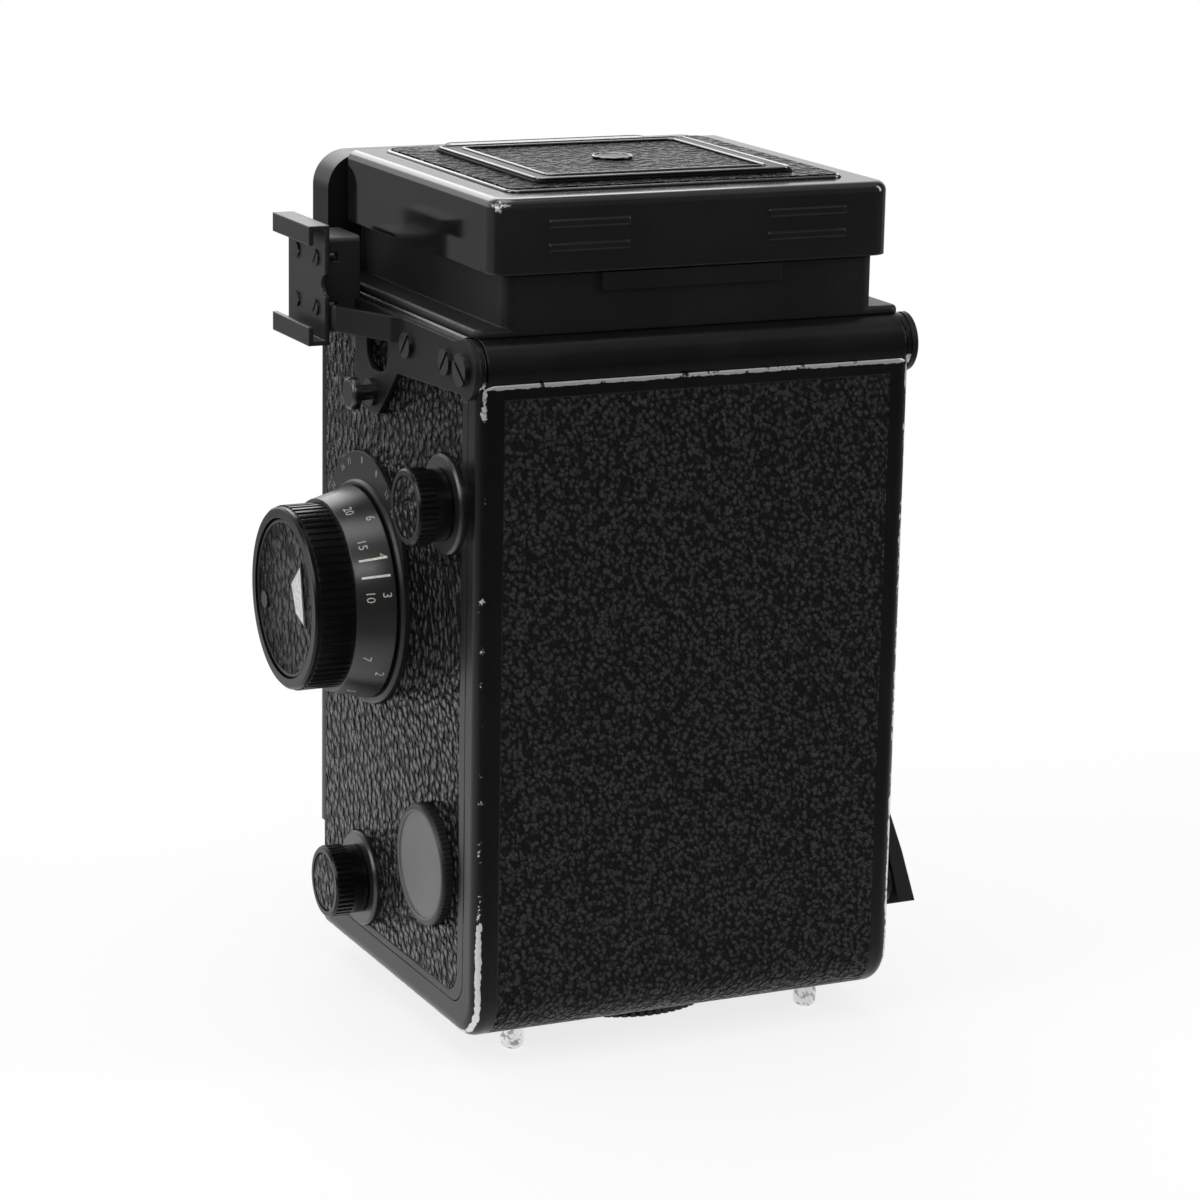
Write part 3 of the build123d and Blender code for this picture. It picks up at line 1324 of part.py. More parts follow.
# ---------------------------------------------------------------- lens standard
standard_rear_y = front_y - standard_gap
standard_face_y = standard_rear_y - standard_depth
barrel_front_y = standard_face_y - lens_reach
bayonet_front_y = barrel_front_y - bayonet_reach
arm_tip_y = focus_y - cam_base_radius - cam_gap
neck_radius = 14.8
flange_thickness = 1.6
with BuildPart() as standard:
    with BuildSketch(front_plane(standard_rear_y)):
        with Locations((0, (standard_base_z + standard_top_z) / 2)):
            RectangleRounded(2 * standard_half_width, standard_top_z - standard_base_z, 6.0)
    extrude(amount=standard_depth)
    fillet(faces().sort_by(Axis.Y)[0].edges(), 1.5)
    with BuildSketch(front_plane(standard_rear_y)):
        with Locations((0, (standard_base_z + standard_top_z) / 2)):
            RectangleRounded(2 * flange_half, standard_top_z - standard_base_z - 3.0, 5.0)
    extrude(amount=flange_thickness)
    with BuildSketch(front_plane(standard_rear_y)):
        with Locations((0, (standard_base_z + standard_top_z) / 2)):
            RectangleRounded(2 * (standard_half_width - standard_wall),
                             standard_top_z - standard_base_z - 2 * standard_wall, 6.0 - standard_wall)
    extrude(amount=standard_depth - standard_wall, mode=Mode.SUBTRACT)
    for z in (taking_axis_z, viewing_axis_z):
        extrude(disc(front_plane(standard_face_y), (0, z), neck_radius + 0.05), amount=-standard_wall,
                mode=Mode.SUBTRACT)
    for x, z, radius in (
        (wheel_offset, (taking_axis_z + viewing_axis_z) / 2, 1.56),
        (-wheel_offset, (taking_axis_z + viewing_axis_z) / 2, 1.56),
        (release_x, release_z, 2.06),
        (timer_x, timer_z, 1.56),
    ):
        extrude(disc(front_plane(standard_face_y), (x, z), radius), amount=-standard_wall, mode=Mode.SUBTRACT)
    sync_place = (-release_x, release_z)
    extrude(disc(front_plane(standard_face_y + 0.5), sync_place, sync_boss_radius), amount=sync_boss_reach + 0.5)
    extrude(disc(front_plane(standard_face_y - sync_boss_reach), sync_place, sync_socket_radius),
            amount=-sync_boss_reach - 1.0, mode=Mode.SUBTRACT)
    # arms that reach back through the body to the focusing cams
    for side in (-1, 1):
        extrude(box_face(side_plane(side * (arm_x - arm_width / 2)),
                         (standard_rear_y - flange_thickness, focus_z - arm_height / 2),
                         (arm_tip_y - 4.0, focus_z + arm_height / 2)),
                amount=side * arm_width)
        extrude(box_face(side_plane(side * (arm_x - arm_width / 2)), (arm_tip_y - 5.0, focus_z - 0.8),
                         (arm_tip_y, focus_z + 0.8)),
                amount=side * arm_width)
save(standard.part, "lens_standard")

glass_seat_y = barrel_front_y + 9.0
barrel_rear_y = standard_rear_y - 2.0
with BuildPart() as barrels:
    for z in (taking_axis_z, viewing_axis_z):
        extrude(disc(front_plane(standard_face_y), (0, z), lens_radius), amount=lens_reach)
        extrude(disc(front_plane(barrel_rear_y), (0, z), neck_radius), amount=barrel_rear_y - standard_face_y)
        extrude(disc(front_plane(barrel_front_y), (0, z), glass_radius), amount=barrel_front_y - glass_seat_y,
                mode=Mode.SUBTRACT)
        extrude(disc(front_plane(glass_seat_y), (0, z), 9.0), amount=glass_seat_y - barrel_rear_y,
                mode=Mode.SUBTRACT)
save(barrels.part, "lens_barrels")

with BuildPart() as bayonets:
    for z in (taking_axis_z, viewing_axis_z):
        with BuildSketch(front_plane(barrel_front_y)):
            with Locations((0, z)):
                Circle(bayonet_radius - 0.9)
                Circle(glass_radius + 1.5, mode=Mode.SUBTRACT)
        extrude(amount=bayonet_reach)
        with BuildSketch(front_plane(barrel_front_y)):
            with Locations((0, z)):
                Circle(bayonet_radius)
                Circle(bayonet_radius - 2.5, mode=Mode.SUBTRACT)
                with PolarLocations(bayonet_radius, 3):
                    Rectangle(8.0, 9.0, mode=Mode.SUBTRACT)
        extrude(amount=bayonet_reach)
save(bayonets.part, "lens_bayonets")

with BuildPart() as glass_blank:
    extrude(disc(front_plane(glass_seat_y), (0, 0), glass_radius), amount=glass_thickness)
    with Locations((0, glass_seat_y - glass_thickness + glass_curve, 0)):
        Sphere(glass_curve, mode=Mode.INTERSECT)
with BuildPart() as glasses:
    for z in (taking_axis_z, viewing_axis_z):
        add(glass_blank.part.moved(Location((0, 0, z))))
save(glasses.part, "lens_glass")

wheel_z = (taking_axis_z + viewing_axis_z) / 2
wheel_rear_y = standard_face_y - 0.3
for x, name in ((wheel_offset, "aperture_wheel"), (-wheel_offset, "shutter_wheel")):
    with BuildPart() as wheel:
        extrude(knurled(front_plane(wheel_rear_y), (x, wheel_z), wheel_radius, 48, 0.35), amount=wheel_thickness)
        extrude(disc(front_plane(wheel_rear_y - wheel_thickness), (x, wheel_z), wheel_radius - 2.4), amount=0.8)
        chamfer(edges().group_by(Axis.Y)[0], 0.4)
        extrude(disc(front_plane(standard_face_y + standard_wall), (x, wheel_z), 1.5),
                amount=standard_face_y + standard_wall - wheel_rear_y)
    save(wheel.part, name)

button_rear_y = standard_face_y - button_travel - 0.2
button_front_y = standard_face_y - button_reach - button_travel
with BuildPart() as button:
    extrude(disc(front_plane(button_rear_y), (release_x, release_z), button_radius),
            amount=button_rear_y - button_front_y)
    fillet(edges().filter_by(GeomType.CIRCLE).group_by(Axis.Y)[0], 0.8)
    extrude(disc(front_plane(button_front_y), (release_x, release_z), cable_socket_radius), amount=-3.0,
            mode=Mode.SUBTRACT)
    extrude(disc(front_plane(standard_face_y + standard_wall), (release_x, release_z), 2.0),
            amount=standard_face_y + standard_wall - button_rear_y)
save(button.part, "release_button")

with BuildPart() as release_collar:
    with BuildSketch(front_plane(standard_face_y - 0.15)):
        with Locations((release_x, release_z)):
            Circle(button_radius + 2.2)
        with Locations((release_x, release_z + button_radius + 2.4)):
            Rectangle(2.6, 2.4)
        with Locations((release_x, release_z)):
            Circle(button_radius + 0.08, mode=Mode.SUBTRACT)
    extrude(amount=2.6)
    chamfer(edges().group_by(Axis.Y)[0], 0.3)
save(release_collar.part, "release_lock_ring")

with BuildPart() as timer:
    extrude(disc(front_plane(standard_face_y - 0.2), (timer_x, timer_z), 2.8), amount=2.2)
    with BuildSketch(front_plane(standard_face_y - 0.9)):
        with Locations((timer_x, timer_z - 4.5)):
            Rectangle(2.8, 9.0)
        with Locations((timer_x, timer_z - 9.0)):
            Circle(2.0)
    extrude(amount=1.5)
    extrude(disc(front_plane(standard_face_y + standard_wall), (timer_x, timer_z), 1.5), amount=standard_wall + 0.2)
save(timer.part, "self_timer_lever")
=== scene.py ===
import math
import bpy
import bmesh
from mathutils import Matrix, Vector


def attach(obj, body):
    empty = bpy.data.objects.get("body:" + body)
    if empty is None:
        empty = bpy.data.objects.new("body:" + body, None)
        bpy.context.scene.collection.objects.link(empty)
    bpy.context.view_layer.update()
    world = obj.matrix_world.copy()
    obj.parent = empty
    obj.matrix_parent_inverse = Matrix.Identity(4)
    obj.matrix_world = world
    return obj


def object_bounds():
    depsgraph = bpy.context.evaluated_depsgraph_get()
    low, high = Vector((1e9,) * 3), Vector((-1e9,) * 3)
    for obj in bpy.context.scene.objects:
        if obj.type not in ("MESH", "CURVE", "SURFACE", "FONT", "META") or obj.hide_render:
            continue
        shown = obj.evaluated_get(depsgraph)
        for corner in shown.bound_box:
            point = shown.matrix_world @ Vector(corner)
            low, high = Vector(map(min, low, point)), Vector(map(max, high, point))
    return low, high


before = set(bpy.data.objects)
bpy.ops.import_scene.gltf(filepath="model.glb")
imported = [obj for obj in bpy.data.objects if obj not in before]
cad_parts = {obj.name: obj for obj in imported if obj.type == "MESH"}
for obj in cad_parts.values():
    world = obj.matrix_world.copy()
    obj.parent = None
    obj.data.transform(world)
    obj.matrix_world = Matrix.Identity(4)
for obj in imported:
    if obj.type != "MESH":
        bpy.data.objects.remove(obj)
cadBox = [list(corner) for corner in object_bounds()]
print("frame loaded, camera and floor next")

millimetre = 0.001

# camera behind and to the left of the body, a little above it
cameraSet = {
    "lens": 117.52, "sensor": 36, "clip": (0.01, 20),
    "place": (0.282706, 0.592072, 0.232889), "yaw": 25.24, "pitch": 13.964, "roll": 1.068,
}


def addCamera(settings):
    yaw, pitch, roll = (math.radians(settings[name]) for name in ("yaw", "pitch", "roll"))
    look = Vector((-math.sin(yaw) * math.cos(pitch), -math.cos(yaw) * math.cos(pitch), -math.sin(pitch)))
    right = look.cross(Vector((0, 0, 1))).normalized()
    up = right.cross(look)
    tiltedRight = right * math.cos(roll) + up * math.sin(roll)
    tiltedUp = up * math.cos(roll) - right * math.sin(roll)
    data = bpy.data.cameras.new("studioCamera")
    data.lens = settings["lens"]
    data.sensor_width = settings["sensor"]
    data.clip_start, data.clip_end = settings["clip"]
    camera = bpy.data.objects.new("studioCamera", data)
    turn = Matrix((tiltedRight, tiltedUp, -look)).transposed()
    camera.matrix_world = Matrix.Translation(settings["place"]) @ turn.to_4x4()
    bpy.context.collection.objects.link(camera)
    bpy.context.scene.camera = camera


addCamera(cameraSet)


def newMaterial(name):
    material = bpy.data.materials.new(name)
    material.use_nodes = True
    nodes = material.node_tree.nodes
    nodes.clear()
    output = nodes.new("ShaderNodeOutputMaterial")
    shader = nodes.new("ShaderNodeBsdfPrincipled")
    material.node_tree.links.new(shader.outputs[0], output.inputs[0])
    return material, nodes, material.node_tree.links, shader


def feed(links, socket, value):
    if isinstance(value, bpy.types.NodeSocket):
        links.new(value, socket)
    else:
        socket.default_value = value


def mathNode(nodes, links, operation, first, second=0.0, clamp=False):
    node = nodes.new("ShaderNodeMath")
    node.operation = operation
    node.use_clamp = clamp
    feed(links, node.inputs[0], first)
    feed(links, node.inputs[1], second)
    return node.outputs[0]


def mapRange(nodes, links, value, low, high, lowOut=0.0, highOut=1.0):
    node = nodes.new("ShaderNodeMapRange")
    node.interpolation_type = "SMOOTHSTEP"
    feed(links, node.inputs[0], value)
    for socket, number in zip(node.inputs[1:5], (low, high, lowOut, highOut)):
        socket.default_value = number
    return node.outputs[0]


def noise(nodes, links, vector, scale, detail=3.0, roughness=0.5):
    node = nodes.new("ShaderNodeTexNoise")
    links.new(vector, node.inputs["Vector"])
    node.inputs["Scale"].default_value = scale
    node.inputs["Detail"].default_value = detail
    node.inputs["Roughness"].default_value = roughness
    return node.outputs[0]


def voronoi(nodes, links, vector, scale, feature="F1"):
    node = nodes.new("ShaderNodeTexVoronoi")
    node.feature = feature
    links.new(vector, node.inputs["Vector"])
    node.inputs["Scale"].default_value = scale
    return node.outputs["Distance"]


def mixColor(nodes, links, factor, first, second):
    node = nodes.new("ShaderNodeMix")
    node.data_type = "RGBA"
    feed(links, node.inputs["Factor"], factor)
    feed(links, node.inputs["A"], first)
    feed(links, node.inputs["B"], second)
    return node.outputs["Result"]


def mixFloat(nodes, links, factor, first, second):
    node = nodes.new("ShaderNodeMix")
    node.data_type = "FLOAT"
    feed(links, node.inputs["Factor"], factor)
    feed(links, node.inputs["A"], first)
    feed(links, node.inputs["B"], second)
    return node.outputs["Result"]


def bump(nodes, links, height, distance, strength=1.0, edge=0.0):
    node = nodes.new("ShaderNodeBump")
    node.inputs["Strength"].default_value = strength
    node.inputs["Distance"].default_value = distance
    links.new(height, node.inputs["Height"])
    if edge > 0:
        rounded = nodes.new("ShaderNodeBevel")
        rounded.samples = 6
        rounded.inputs["Radius"].default_value = edge
        links.new(rounded.outputs[0], node.inputs["Normal"])
    return node.outputs[0]


def objectPlace(nodes):
    return nodes.new("ShaderNodeTexCoord").outputs["Object"]


def splitPlace(nodes, links):
    node = nodes.new("ShaderNodeSeparateXYZ")
    links.new(objectPlace(nodes), node.inputs[0])
    return node.outputs


def grey(level, blue=0.0):
    return (level, level, level + blue, 1)


def radiusFrom(nodes, links, across, up):
    squares = [mathNode(nodes, links, "MULTIPLY", reach, reach) for reach in (across, up)]
    return mathNode(nodes, links, "SQRT", mathNode(nodes, links, "ADD", *squares))


def seenStraight(nodes, links, path):
    # rays that reach the eye directly or through glass
    direct, through = path.outputs["Is Camera Ray"], path.outputs["Is Transmission Ray"]
    return mathNode(nodes, links, "MAXIMUM", direct, through)


floorSet = {
    "size": 8.0, "white": 0.86, "rough": 0.9, "shine": 0.1, "near": 0.25, "far": 0.9, "clear": 0.8,
    "glossNear": 0.1, "glossFar": 0.6, "glossTop": 0.95, "glossFloor": 0.2, "glossDepth": 0.12,
}


def addFloor(settings, lowest):
    mesh = bpy.data.meshes.new("studioFloor")
    half = settings["size"] / 2
    corners = ((-half, -half), (half, -half), (half, half), (-half, half))
    mesh.from_pydata([(x, y, lowest) for x, y in corners], [], [(0, 1, 2, 3)])
    floor = bpy.data.objects.new("studioFloor", mesh)
    bpy.context.collection.objects.link(floor)
    material, nodes, links, shader = newMaterial("floorWhite")
    shader.inputs["Roughness"].default_value = settings["rough"]
    shader.inputs["Specular IOR Level"].default_value = settings["shine"]
    glow = nodes.new("ShaderNodeEmission")
    glow.inputs["Color"].default_value = grey(1.0)
    path = nodes.new("ShaderNodeLightPath")
    length = nodes.new("ShaderNodeVectorMath")
    length.operation = "LENGTH"
    links.new(objectPlace(nodes), length.inputs[0])
    distance = length.outputs["Value"]
    clear = mapRange(nodes, links, distance, settings["near"], settings["far"], settings["clear"], 1.0)
    straight = seenStraight(nodes, links, path)
    straight = mathNode(nodes, links, "MULTIPLY", straight, clear)
    # mirrored rays see a small bright table that ends behind the camera's side of the object
    table = mapRange(nodes, links, distance, settings["glossNear"], settings["glossFar"],
                     settings["glossTop"], settings["glossFloor"])
    side = mapRange(nodes, links, splitPlace(nodes, links)["Y"], 0.0, settings["glossDepth"],
                    1.0, settings["glossFloor"])
    mirrored = mathNode(nodes, links, "MULTIPLY", table, side)
    mirrored = mathNode(nodes, links, "MULTIPLY", path.outputs["Is Glossy Ray"], mirrored)
    links.new(mixColor(nodes, links, path.outputs["Is Glossy Ray"], grey(settings["white"]), grey(0.0)),
              shader.inputs["Base Color"])
    blend = nodes.new("ShaderNodeMixShader")
    links.new(mathNode(nodes, links, "MAXIMUM", straight, mirrored), blend.inputs[0])
    links.new(shader.outputs[0], blend.inputs[1])
    links.new(glow.outputs[0], blend.inputs[2])
    links.new(blend.outputs[0], nodes["Material Output"].inputs[0])
    mesh.materials.append(material)


addFloor(floorSet, cadBox[0][2])

lampSet = {
    "sideSoftbox": {"place": (1.2, 0.1, 0.75), "size": (0.7, 0.9), "power": 7.0},
    "rearSoftbox": {"place": (0.35, 1.5, 1.3), "size": (0.9, 0.5), "power": 5.0},
    "farStrip": {"place": (-1.1, 0.5, 0.6), "size": (0.3, 1.0), "power": 5.0},
    "frontFill": {"place": (-0.2, -1.4, 0.9), "size": (1.2, 0.9), "power": 7.0},
    "topPanel": {"place": (0.1, -0.2, 1.5), "size": (1.1, 1.1), "power": 8.0},
}
lampTarget = (0, 0, 0.07)
worldSet = {
    "level": 0.42, "dim": 0.1, "ahead": (-0.75, -0.35),
    "ceiling": 0.34, "ceilingFrom": 0.55, "ceilingTo": 0.8,
}


def addLamps(settings):
    target = Vector(lampTarget)
    for name, lamp in settings.items():
        data = bpy.data.lights.new(name, "AREA")
        data.shape = "RECTANGLE"
        data.size, data.size_y = lamp["size"]
        data.energy = lamp["power"]
        light = bpy.data.objects.new(name, data)
        light.location = lamp["place"]
        light.rotation_euler = (target - light.location).to_track_quat("-Z", "Y").to_euler()
        bpy.context.collection.objects.link(light)


def addWorld(settings):
    world = bpy.data.worlds.new("studioWorld")
    bpy.context.scene.world = world
    world.use_nodes = True
    nodes, links = world.node_tree.nodes, world.node_tree.links
    background = nodes["Background"]
    background.inputs["Color"].default_value = grey(1.0)
    path = nodes.new("ShaderNodeLightPath")
    split = nodes.new("ShaderNodeSeparateXYZ")
    links.new(nodes.new("ShaderNodeTexCoord").outputs["Generated"], split.inputs[0])
    # mirrored rays see the white backdrop ahead and the darker room behind the camera
    mirrored = mapRange(nodes, links, split.outputs["Y"], *settings["ahead"], 1.0, settings["dim"])
    ceiling = mapRange(nodes, links, split.outputs["Z"], settings["ceilingFrom"], settings["ceilingTo"],
                       0.0, settings["ceiling"])
    mirrored = mathNode(nodes, links, "MAXIMUM", mirrored, ceiling)
    straight = seenStraight(nodes, links, path)
    level = mixFloat(nodes, links, path.outputs["Is Glossy Ray"], settings["level"], mirrored)
    links.new(mixFloat(nodes, links, straight, level, 1.0), background.inputs["Strength"])


addLamps(lampSet)
addWorld(worldSet)
bpy.context.scene.view_settings.view_transform = "Standard"
print("camera, floor and lamps placed")

paintSet = {
    "haze": 48, "scuff": 700, "scuffs": (0.6, 0.8), "scuffed": 0.35, "peel": 1500, "relief": 0.00003,
    "edge": 0.0004, "bare": 0.78, "bareMetal": 0.85, "bareRough": 0.42,
}


def paintFinish(name, settings, bareMask=None):
    # black enamel: dust haze, faint orange peel and, where a mask is given, chips down to bare alloy; on the
    # door the mask also paints a highlight line in bare alloy
    material, nodes, links, shader = newMaterial(name)
    place = objectPlace(nodes)
    haze = noise(nodes, links, place, paintSet["haze"], 5, 0.6)
    scuff = mapRange(nodes, links, noise(nodes, links, place, paintSet["scuff"], 5, 0.7), *paintSet["scuffs"])
    peel = noise(nodes, links, place, paintSet["peel"], 2, 0.5)
    color = settings["color"]
    dusty = mapRange(nodes, links, haze, 0.35, 0.75)
    painted = mixColor(nodes, links, dusty, grey(color), grey(color * 1.5, 0.0004))
    scuff = mathNode(nodes, links, "MULTIPLY", scuff, paintSet["scuffed"])
    painted = mixColor(nodes, links, scuff, painted, grey(color * 4))
    coat = mapRange(nodes, links, haze, 0.3, 0.8, settings["rough"], settings["rough"] + 0.1)
    height = mathNode(nodes, links, "MULTIPLY", peel, 0.5 + settings["grain"])
    shader.inputs["Specular IOR Level"].default_value = settings["shine"]
    if bareMask is None:
        links.new(painted, shader.inputs["Base Color"])
        links.new(coat, shader.inputs["Roughness"])
    else:
        bare = bareMask(nodes, links)
        links.new(mixColor(nodes, links, bare, painted, grey(paintSet["bare"])), shader.inputs["Base Color"])
        links.new(mathNode(nodes, links, "MULTIPLY", bare, paintSet["bareMetal"]), shader.inputs["Metallic"])
        links.new(mixFloat(nodes, links, bare, coat, paintSet["bareRough"]), shader.inputs["Roughness"])
        height = mathNode(nodes, links, "SUBTRACT", height, bare)
    relief = bump(nodes, links, height, paintSet["relief"], 0.25 + settings["grain"], paintSet["edge"])
    links.new(relief, shader.inputs["Normal"])
    return material


# bare chips along the door's worn edges, and a thin painted highlight line along its top edge
doorWearAndHighlight = {
    "edge": 0.03665, "radius": 0.0026, "bend": (0.022, 0.0114), "reach": 0.0054, "chips": 430,
    "ridge": (0.4, 0.52), "high": (0.1075, 0.1125, 0.0, 0.4), "lowLeft": (0.034, 0.017, 0.0, 0.62),
    "lowRight": (0.06, 0.03, 0.0, 0.26), "left": 0.2, "right": 0.38, "highlightLineZ": (0.1142, 0.1146),
    "highlightLineY": (0.0282, 0.0289), "line": 0.62, "push": 0.42, "bare": (0.665, 0.69),
    "fade": (0.1158, 0.1153), "least": 0.05,
}


def doorMask(nodes, links):
    # rubbed ridge of the door's rounded edges, weighted by side and height, and a painted highlight line
    # along the top edge
    wearAndHighlight = doorWearAndHighlight
    x, y, z = splitPlace(nodes, links)
    chips = noise(nodes, links, objectPlace(nodes), wearAndHighlight["chips"], 6, 0.72)
    side = mathNode(nodes, links, "SUBTRACT", mathNode(nodes, links, "ABSOLUTE", x), wearAndHighlight["edge"])
    side = mathNode(nodes, links, "DIVIDE", side, wearAndHighlight["radius"], clamp=True)
    outY = mathNode(nodes, links, "MAXIMUM", mathNode(nodes, links, "SUBTRACT", y, wearAndHighlight["bend"][0]), 0.0)
    outZ = mathNode(nodes, links, "MAXIMUM", mathNode(nodes, links, "SUBTRACT", wearAndHighlight["bend"][1], z), 0.0)
    out = mathNode(nodes, links, "SUBTRACT", radiusFrom(nodes, links, outY, outZ), wearAndHighlight["reach"])
    back = mathNode(nodes, links, "DIVIDE", out, wearAndHighlight["radius"], clamp=True)
    ridge = mapRange(nodes, links, mathNode(nodes, links, "MULTIPLY", side, back), *wearAndHighlight["ridge"])
    high = mapRange(nodes, links, z, *wearAndHighlight["high"])
    lowLeft = mapRange(nodes, links, z, *wearAndHighlight["lowLeft"])
    lowRight = mapRange(nodes, links, z, *wearAndHighlight["lowRight"])
    leftZone = mathNode(nodes, links, "MAXIMUM", high, lowLeft)
    leftZone = mathNode(nodes, links, "ADD", leftZone, wearAndHighlight["left"])
    rightZone = mathNode(nodes, links, "MAXIMUM", high, lowRight)
    rightZone = mathNode(nodes, links, "ADD", rightZone, wearAndHighlight["right"])
    zone = mixFloat(nodes, links, mathNode(nodes, links, "GREATER_THAN", x, 0.0), rightZone, leftZone)
    ridge = mathNode(nodes, links, "MULTIPLY", ridge, zone)
    # painted highlight: a thin speckled bare-metal line along the top edge stands in for the edge's catch
    # highlight
    line = mathNode(nodes, links, "MULTIPLY", mapRange(nodes, links, z, *wearAndHighlight["highlightLineZ"]),
                    mapRange(nodes, links, y, *wearAndHighlight["highlightLineY"]))
    ridge = mathNode(nodes, links, "MAXIMUM", ridge, mathNode(nodes, links, "MULTIPLY", line, wearAndHighlight["line"]))
    score = mathNode(nodes, links, "ADD", chips, mathNode(nodes, links, "MULTIPLY", ridge, wearAndHighlight["push"]))
    bare = mapRange(nodes, links, score, *wearAndHighlight["bare"])
    below = mapRange(nodes, links, z, *wearAndHighlight["fade"])
    bare = mathNode(nodes, links, "MULTIPLY", bare, below)
    # keeps only the rubbed edges and the painted highlight line
    worn = mathNode(nodes, links, "GREATER_THAN", ridge, wearAndHighlight["least"])
    return mathNode(nodes, links, "MULTIPLY", bare, worn)


lidWear = {
    "corner": (0.036, 0.0271, 0.1434), "near": 0.0013, "far": 0.0029, "chips": 620, "push": 0.12,
    "bare": (0.64, 0.66),
}


def lidMask(nodes, links):
    # one chip on the lid's left rear corner
    gap = nodes.new("ShaderNodeVectorMath")
    gap.operation = "DISTANCE"
    links.new(objectPlace(nodes), gap.inputs[0])
    gap.inputs[1].default_value = lidWear["corner"]
    near = mapRange(nodes, links, gap.outputs["Value"], lidWear["far"], lidWear["near"])
    chips = noise(nodes, links, objectPlace(nodes), lidWear["chips"], 4, 0.7)
    score = mathNode(nodes, links, "ADD", chips, mathNode(nodes, links, "MULTIPLY", near, lidWear["push"]))
    return mathNode(nodes, links, "MULTIPLY", mapRange(nodes, links, score, *lidWear["bare"]), near)


leatherSet = {
    "pebble": 1150, "dome": 0.8, "swell": 1.0, "fine": 3000, "color": 0.0145, "depth": 0.001, "shine": 0.34,
    "creaseShade": 0.22, "wet": 0.25, "rough": 0.2, "dull": 0.34, "crease": 0.8, "top": 1.75,
}
sideLeatherSet = {
    "pebble": 640, "dome": 1.0, "swell": 0.7, "fine": 2200, "color": 0.0085, "depth": 0.002, "shine": 0.7,
    "creaseShade": 0.4, "wet": 0.1, "rough": 0.12, "dull": 0.24, "crease": 0.85, "top": 1.6,
}
lidLeatherSet = {
    "pebble": 700, "dome": 1.0, "swell": 0.7, "fine": 2600, "color": 0.0095, "depth": 0.0028, "shine": 1.0,
    "creaseShade": 0.35, "wet": 0.05, "rough": 0.12, "dull": 0.3, "crease": 1.0, "top": 1.6,
}
grainSet = {
    "drift": 520, "warp": 0.0012, "round": 1.8, "swellScale": 0.9, "fineShare": 0.3, "broad": 26,
    "lowDark": 0.8, "lowLight": 1.4, "topGlint": 1.8, "tint": 0.0002, "sheenLoss": 0.2,
}


def leatherFinish(name, settings):
    # pebbled covering: rounded grains, with painted shade darkening the creases between them and painted
    # glints lightening the tops
    material, nodes, links, shader = newMaterial(name)
    place = objectPlace(nodes)
    drift = nodes.new("ShaderNodeTexNoise")
    links.new(place, drift.inputs["Vector"])
    drift.inputs["Scale"].default_value = grainSet["drift"]
    warp = nodes.new("ShaderNodeVectorMath")
    warp.operation = "MULTIPLY_ADD"
    links.new(drift.outputs["Color"], warp.inputs[0])
    warp.inputs[1].default_value = (grainSet["warp"],) * 3
    links.new(place, warp.inputs[2])
    grains = voronoi(nodes, links, warp.outputs[0], settings["pebble"])
    dome = mathNode(nodes, links, "MULTIPLY", grains, grains)
    dome = mathNode(nodes, links, "MULTIPLY", dome, grainSet["round"])
    dome = mathNode(nodes, links, "SUBTRACT", 1.0, dome, clamp=True)
    swell = noise(nodes, links, place, settings["pebble"] * grainSet["swellScale"], 3, 0.55)
    fine = noise(nodes, links, place, settings["fine"], 4, 0.6)
    height = mathNode(nodes, links, "ADD", mathNode(nodes, links, "MULTIPLY", dome, settings["dome"]),
                      mathNode(nodes, links, "MULTIPLY", swell, settings["swell"]))
    fineHeight = mathNode(nodes, links, "MULTIPLY", fine, grainSet["fineShare"])
    height = mathNode(nodes, links, "ADD", height, fineHeight)
    tops = mapRange(nodes, links, height, settings["crease"], settings["top"])
    broad = noise(nodes, links, place, grainSet["broad"], 3, 0.5)
    color = settings["color"]
    creaseShade = settings["creaseShade"]
    # painted shade darkens the low creases; painted glints lighten the grain tops
    low = mixColor(nodes, links, broad, grey(color * grainSet["lowDark"] * creaseShade),
                   grey(color * grainSet["lowLight"] * creaseShade))
    high = grey(color * grainSet["topGlint"], grainSet["tint"])
    links.new(mixColor(nodes, links, tops, low, high), shader.inputs["Base Color"])
    sheenLoss = mathNode(nodes, links, "MULTIPLY", fine, grainSet["sheenLoss"])
    sheen = mathNode(nodes, links, "SUBTRACT", tops, sheenLoss, clamp=True)
    links.new(mixFloat(nodes, links, sheen, settings["dull"], settings["rough"]), shader.inputs["Roughness"])
    # creases hold no gloss
    shine = settings["shine"]
    shader.inputs["Specular IOR Level"].default_value = shine
    gloss = mixFloat(nodes, links, tops, shine * settings["wet"], shine)
    links.new(gloss, shader.inputs["Specular IOR Level"])
    links.new(bump(nodes, links, height, settings["depth"], 1.0), shader.inputs["Normal"])
    return material


metalSet = {
    "smudge": 90, "smudges": (0.3, 0.75), "lines": 2600, "darker": 0.82, "spot": 1100, "spots": (0.5, 0.62),
    "spotTone": 0.12, "relief": 0.00001,
}


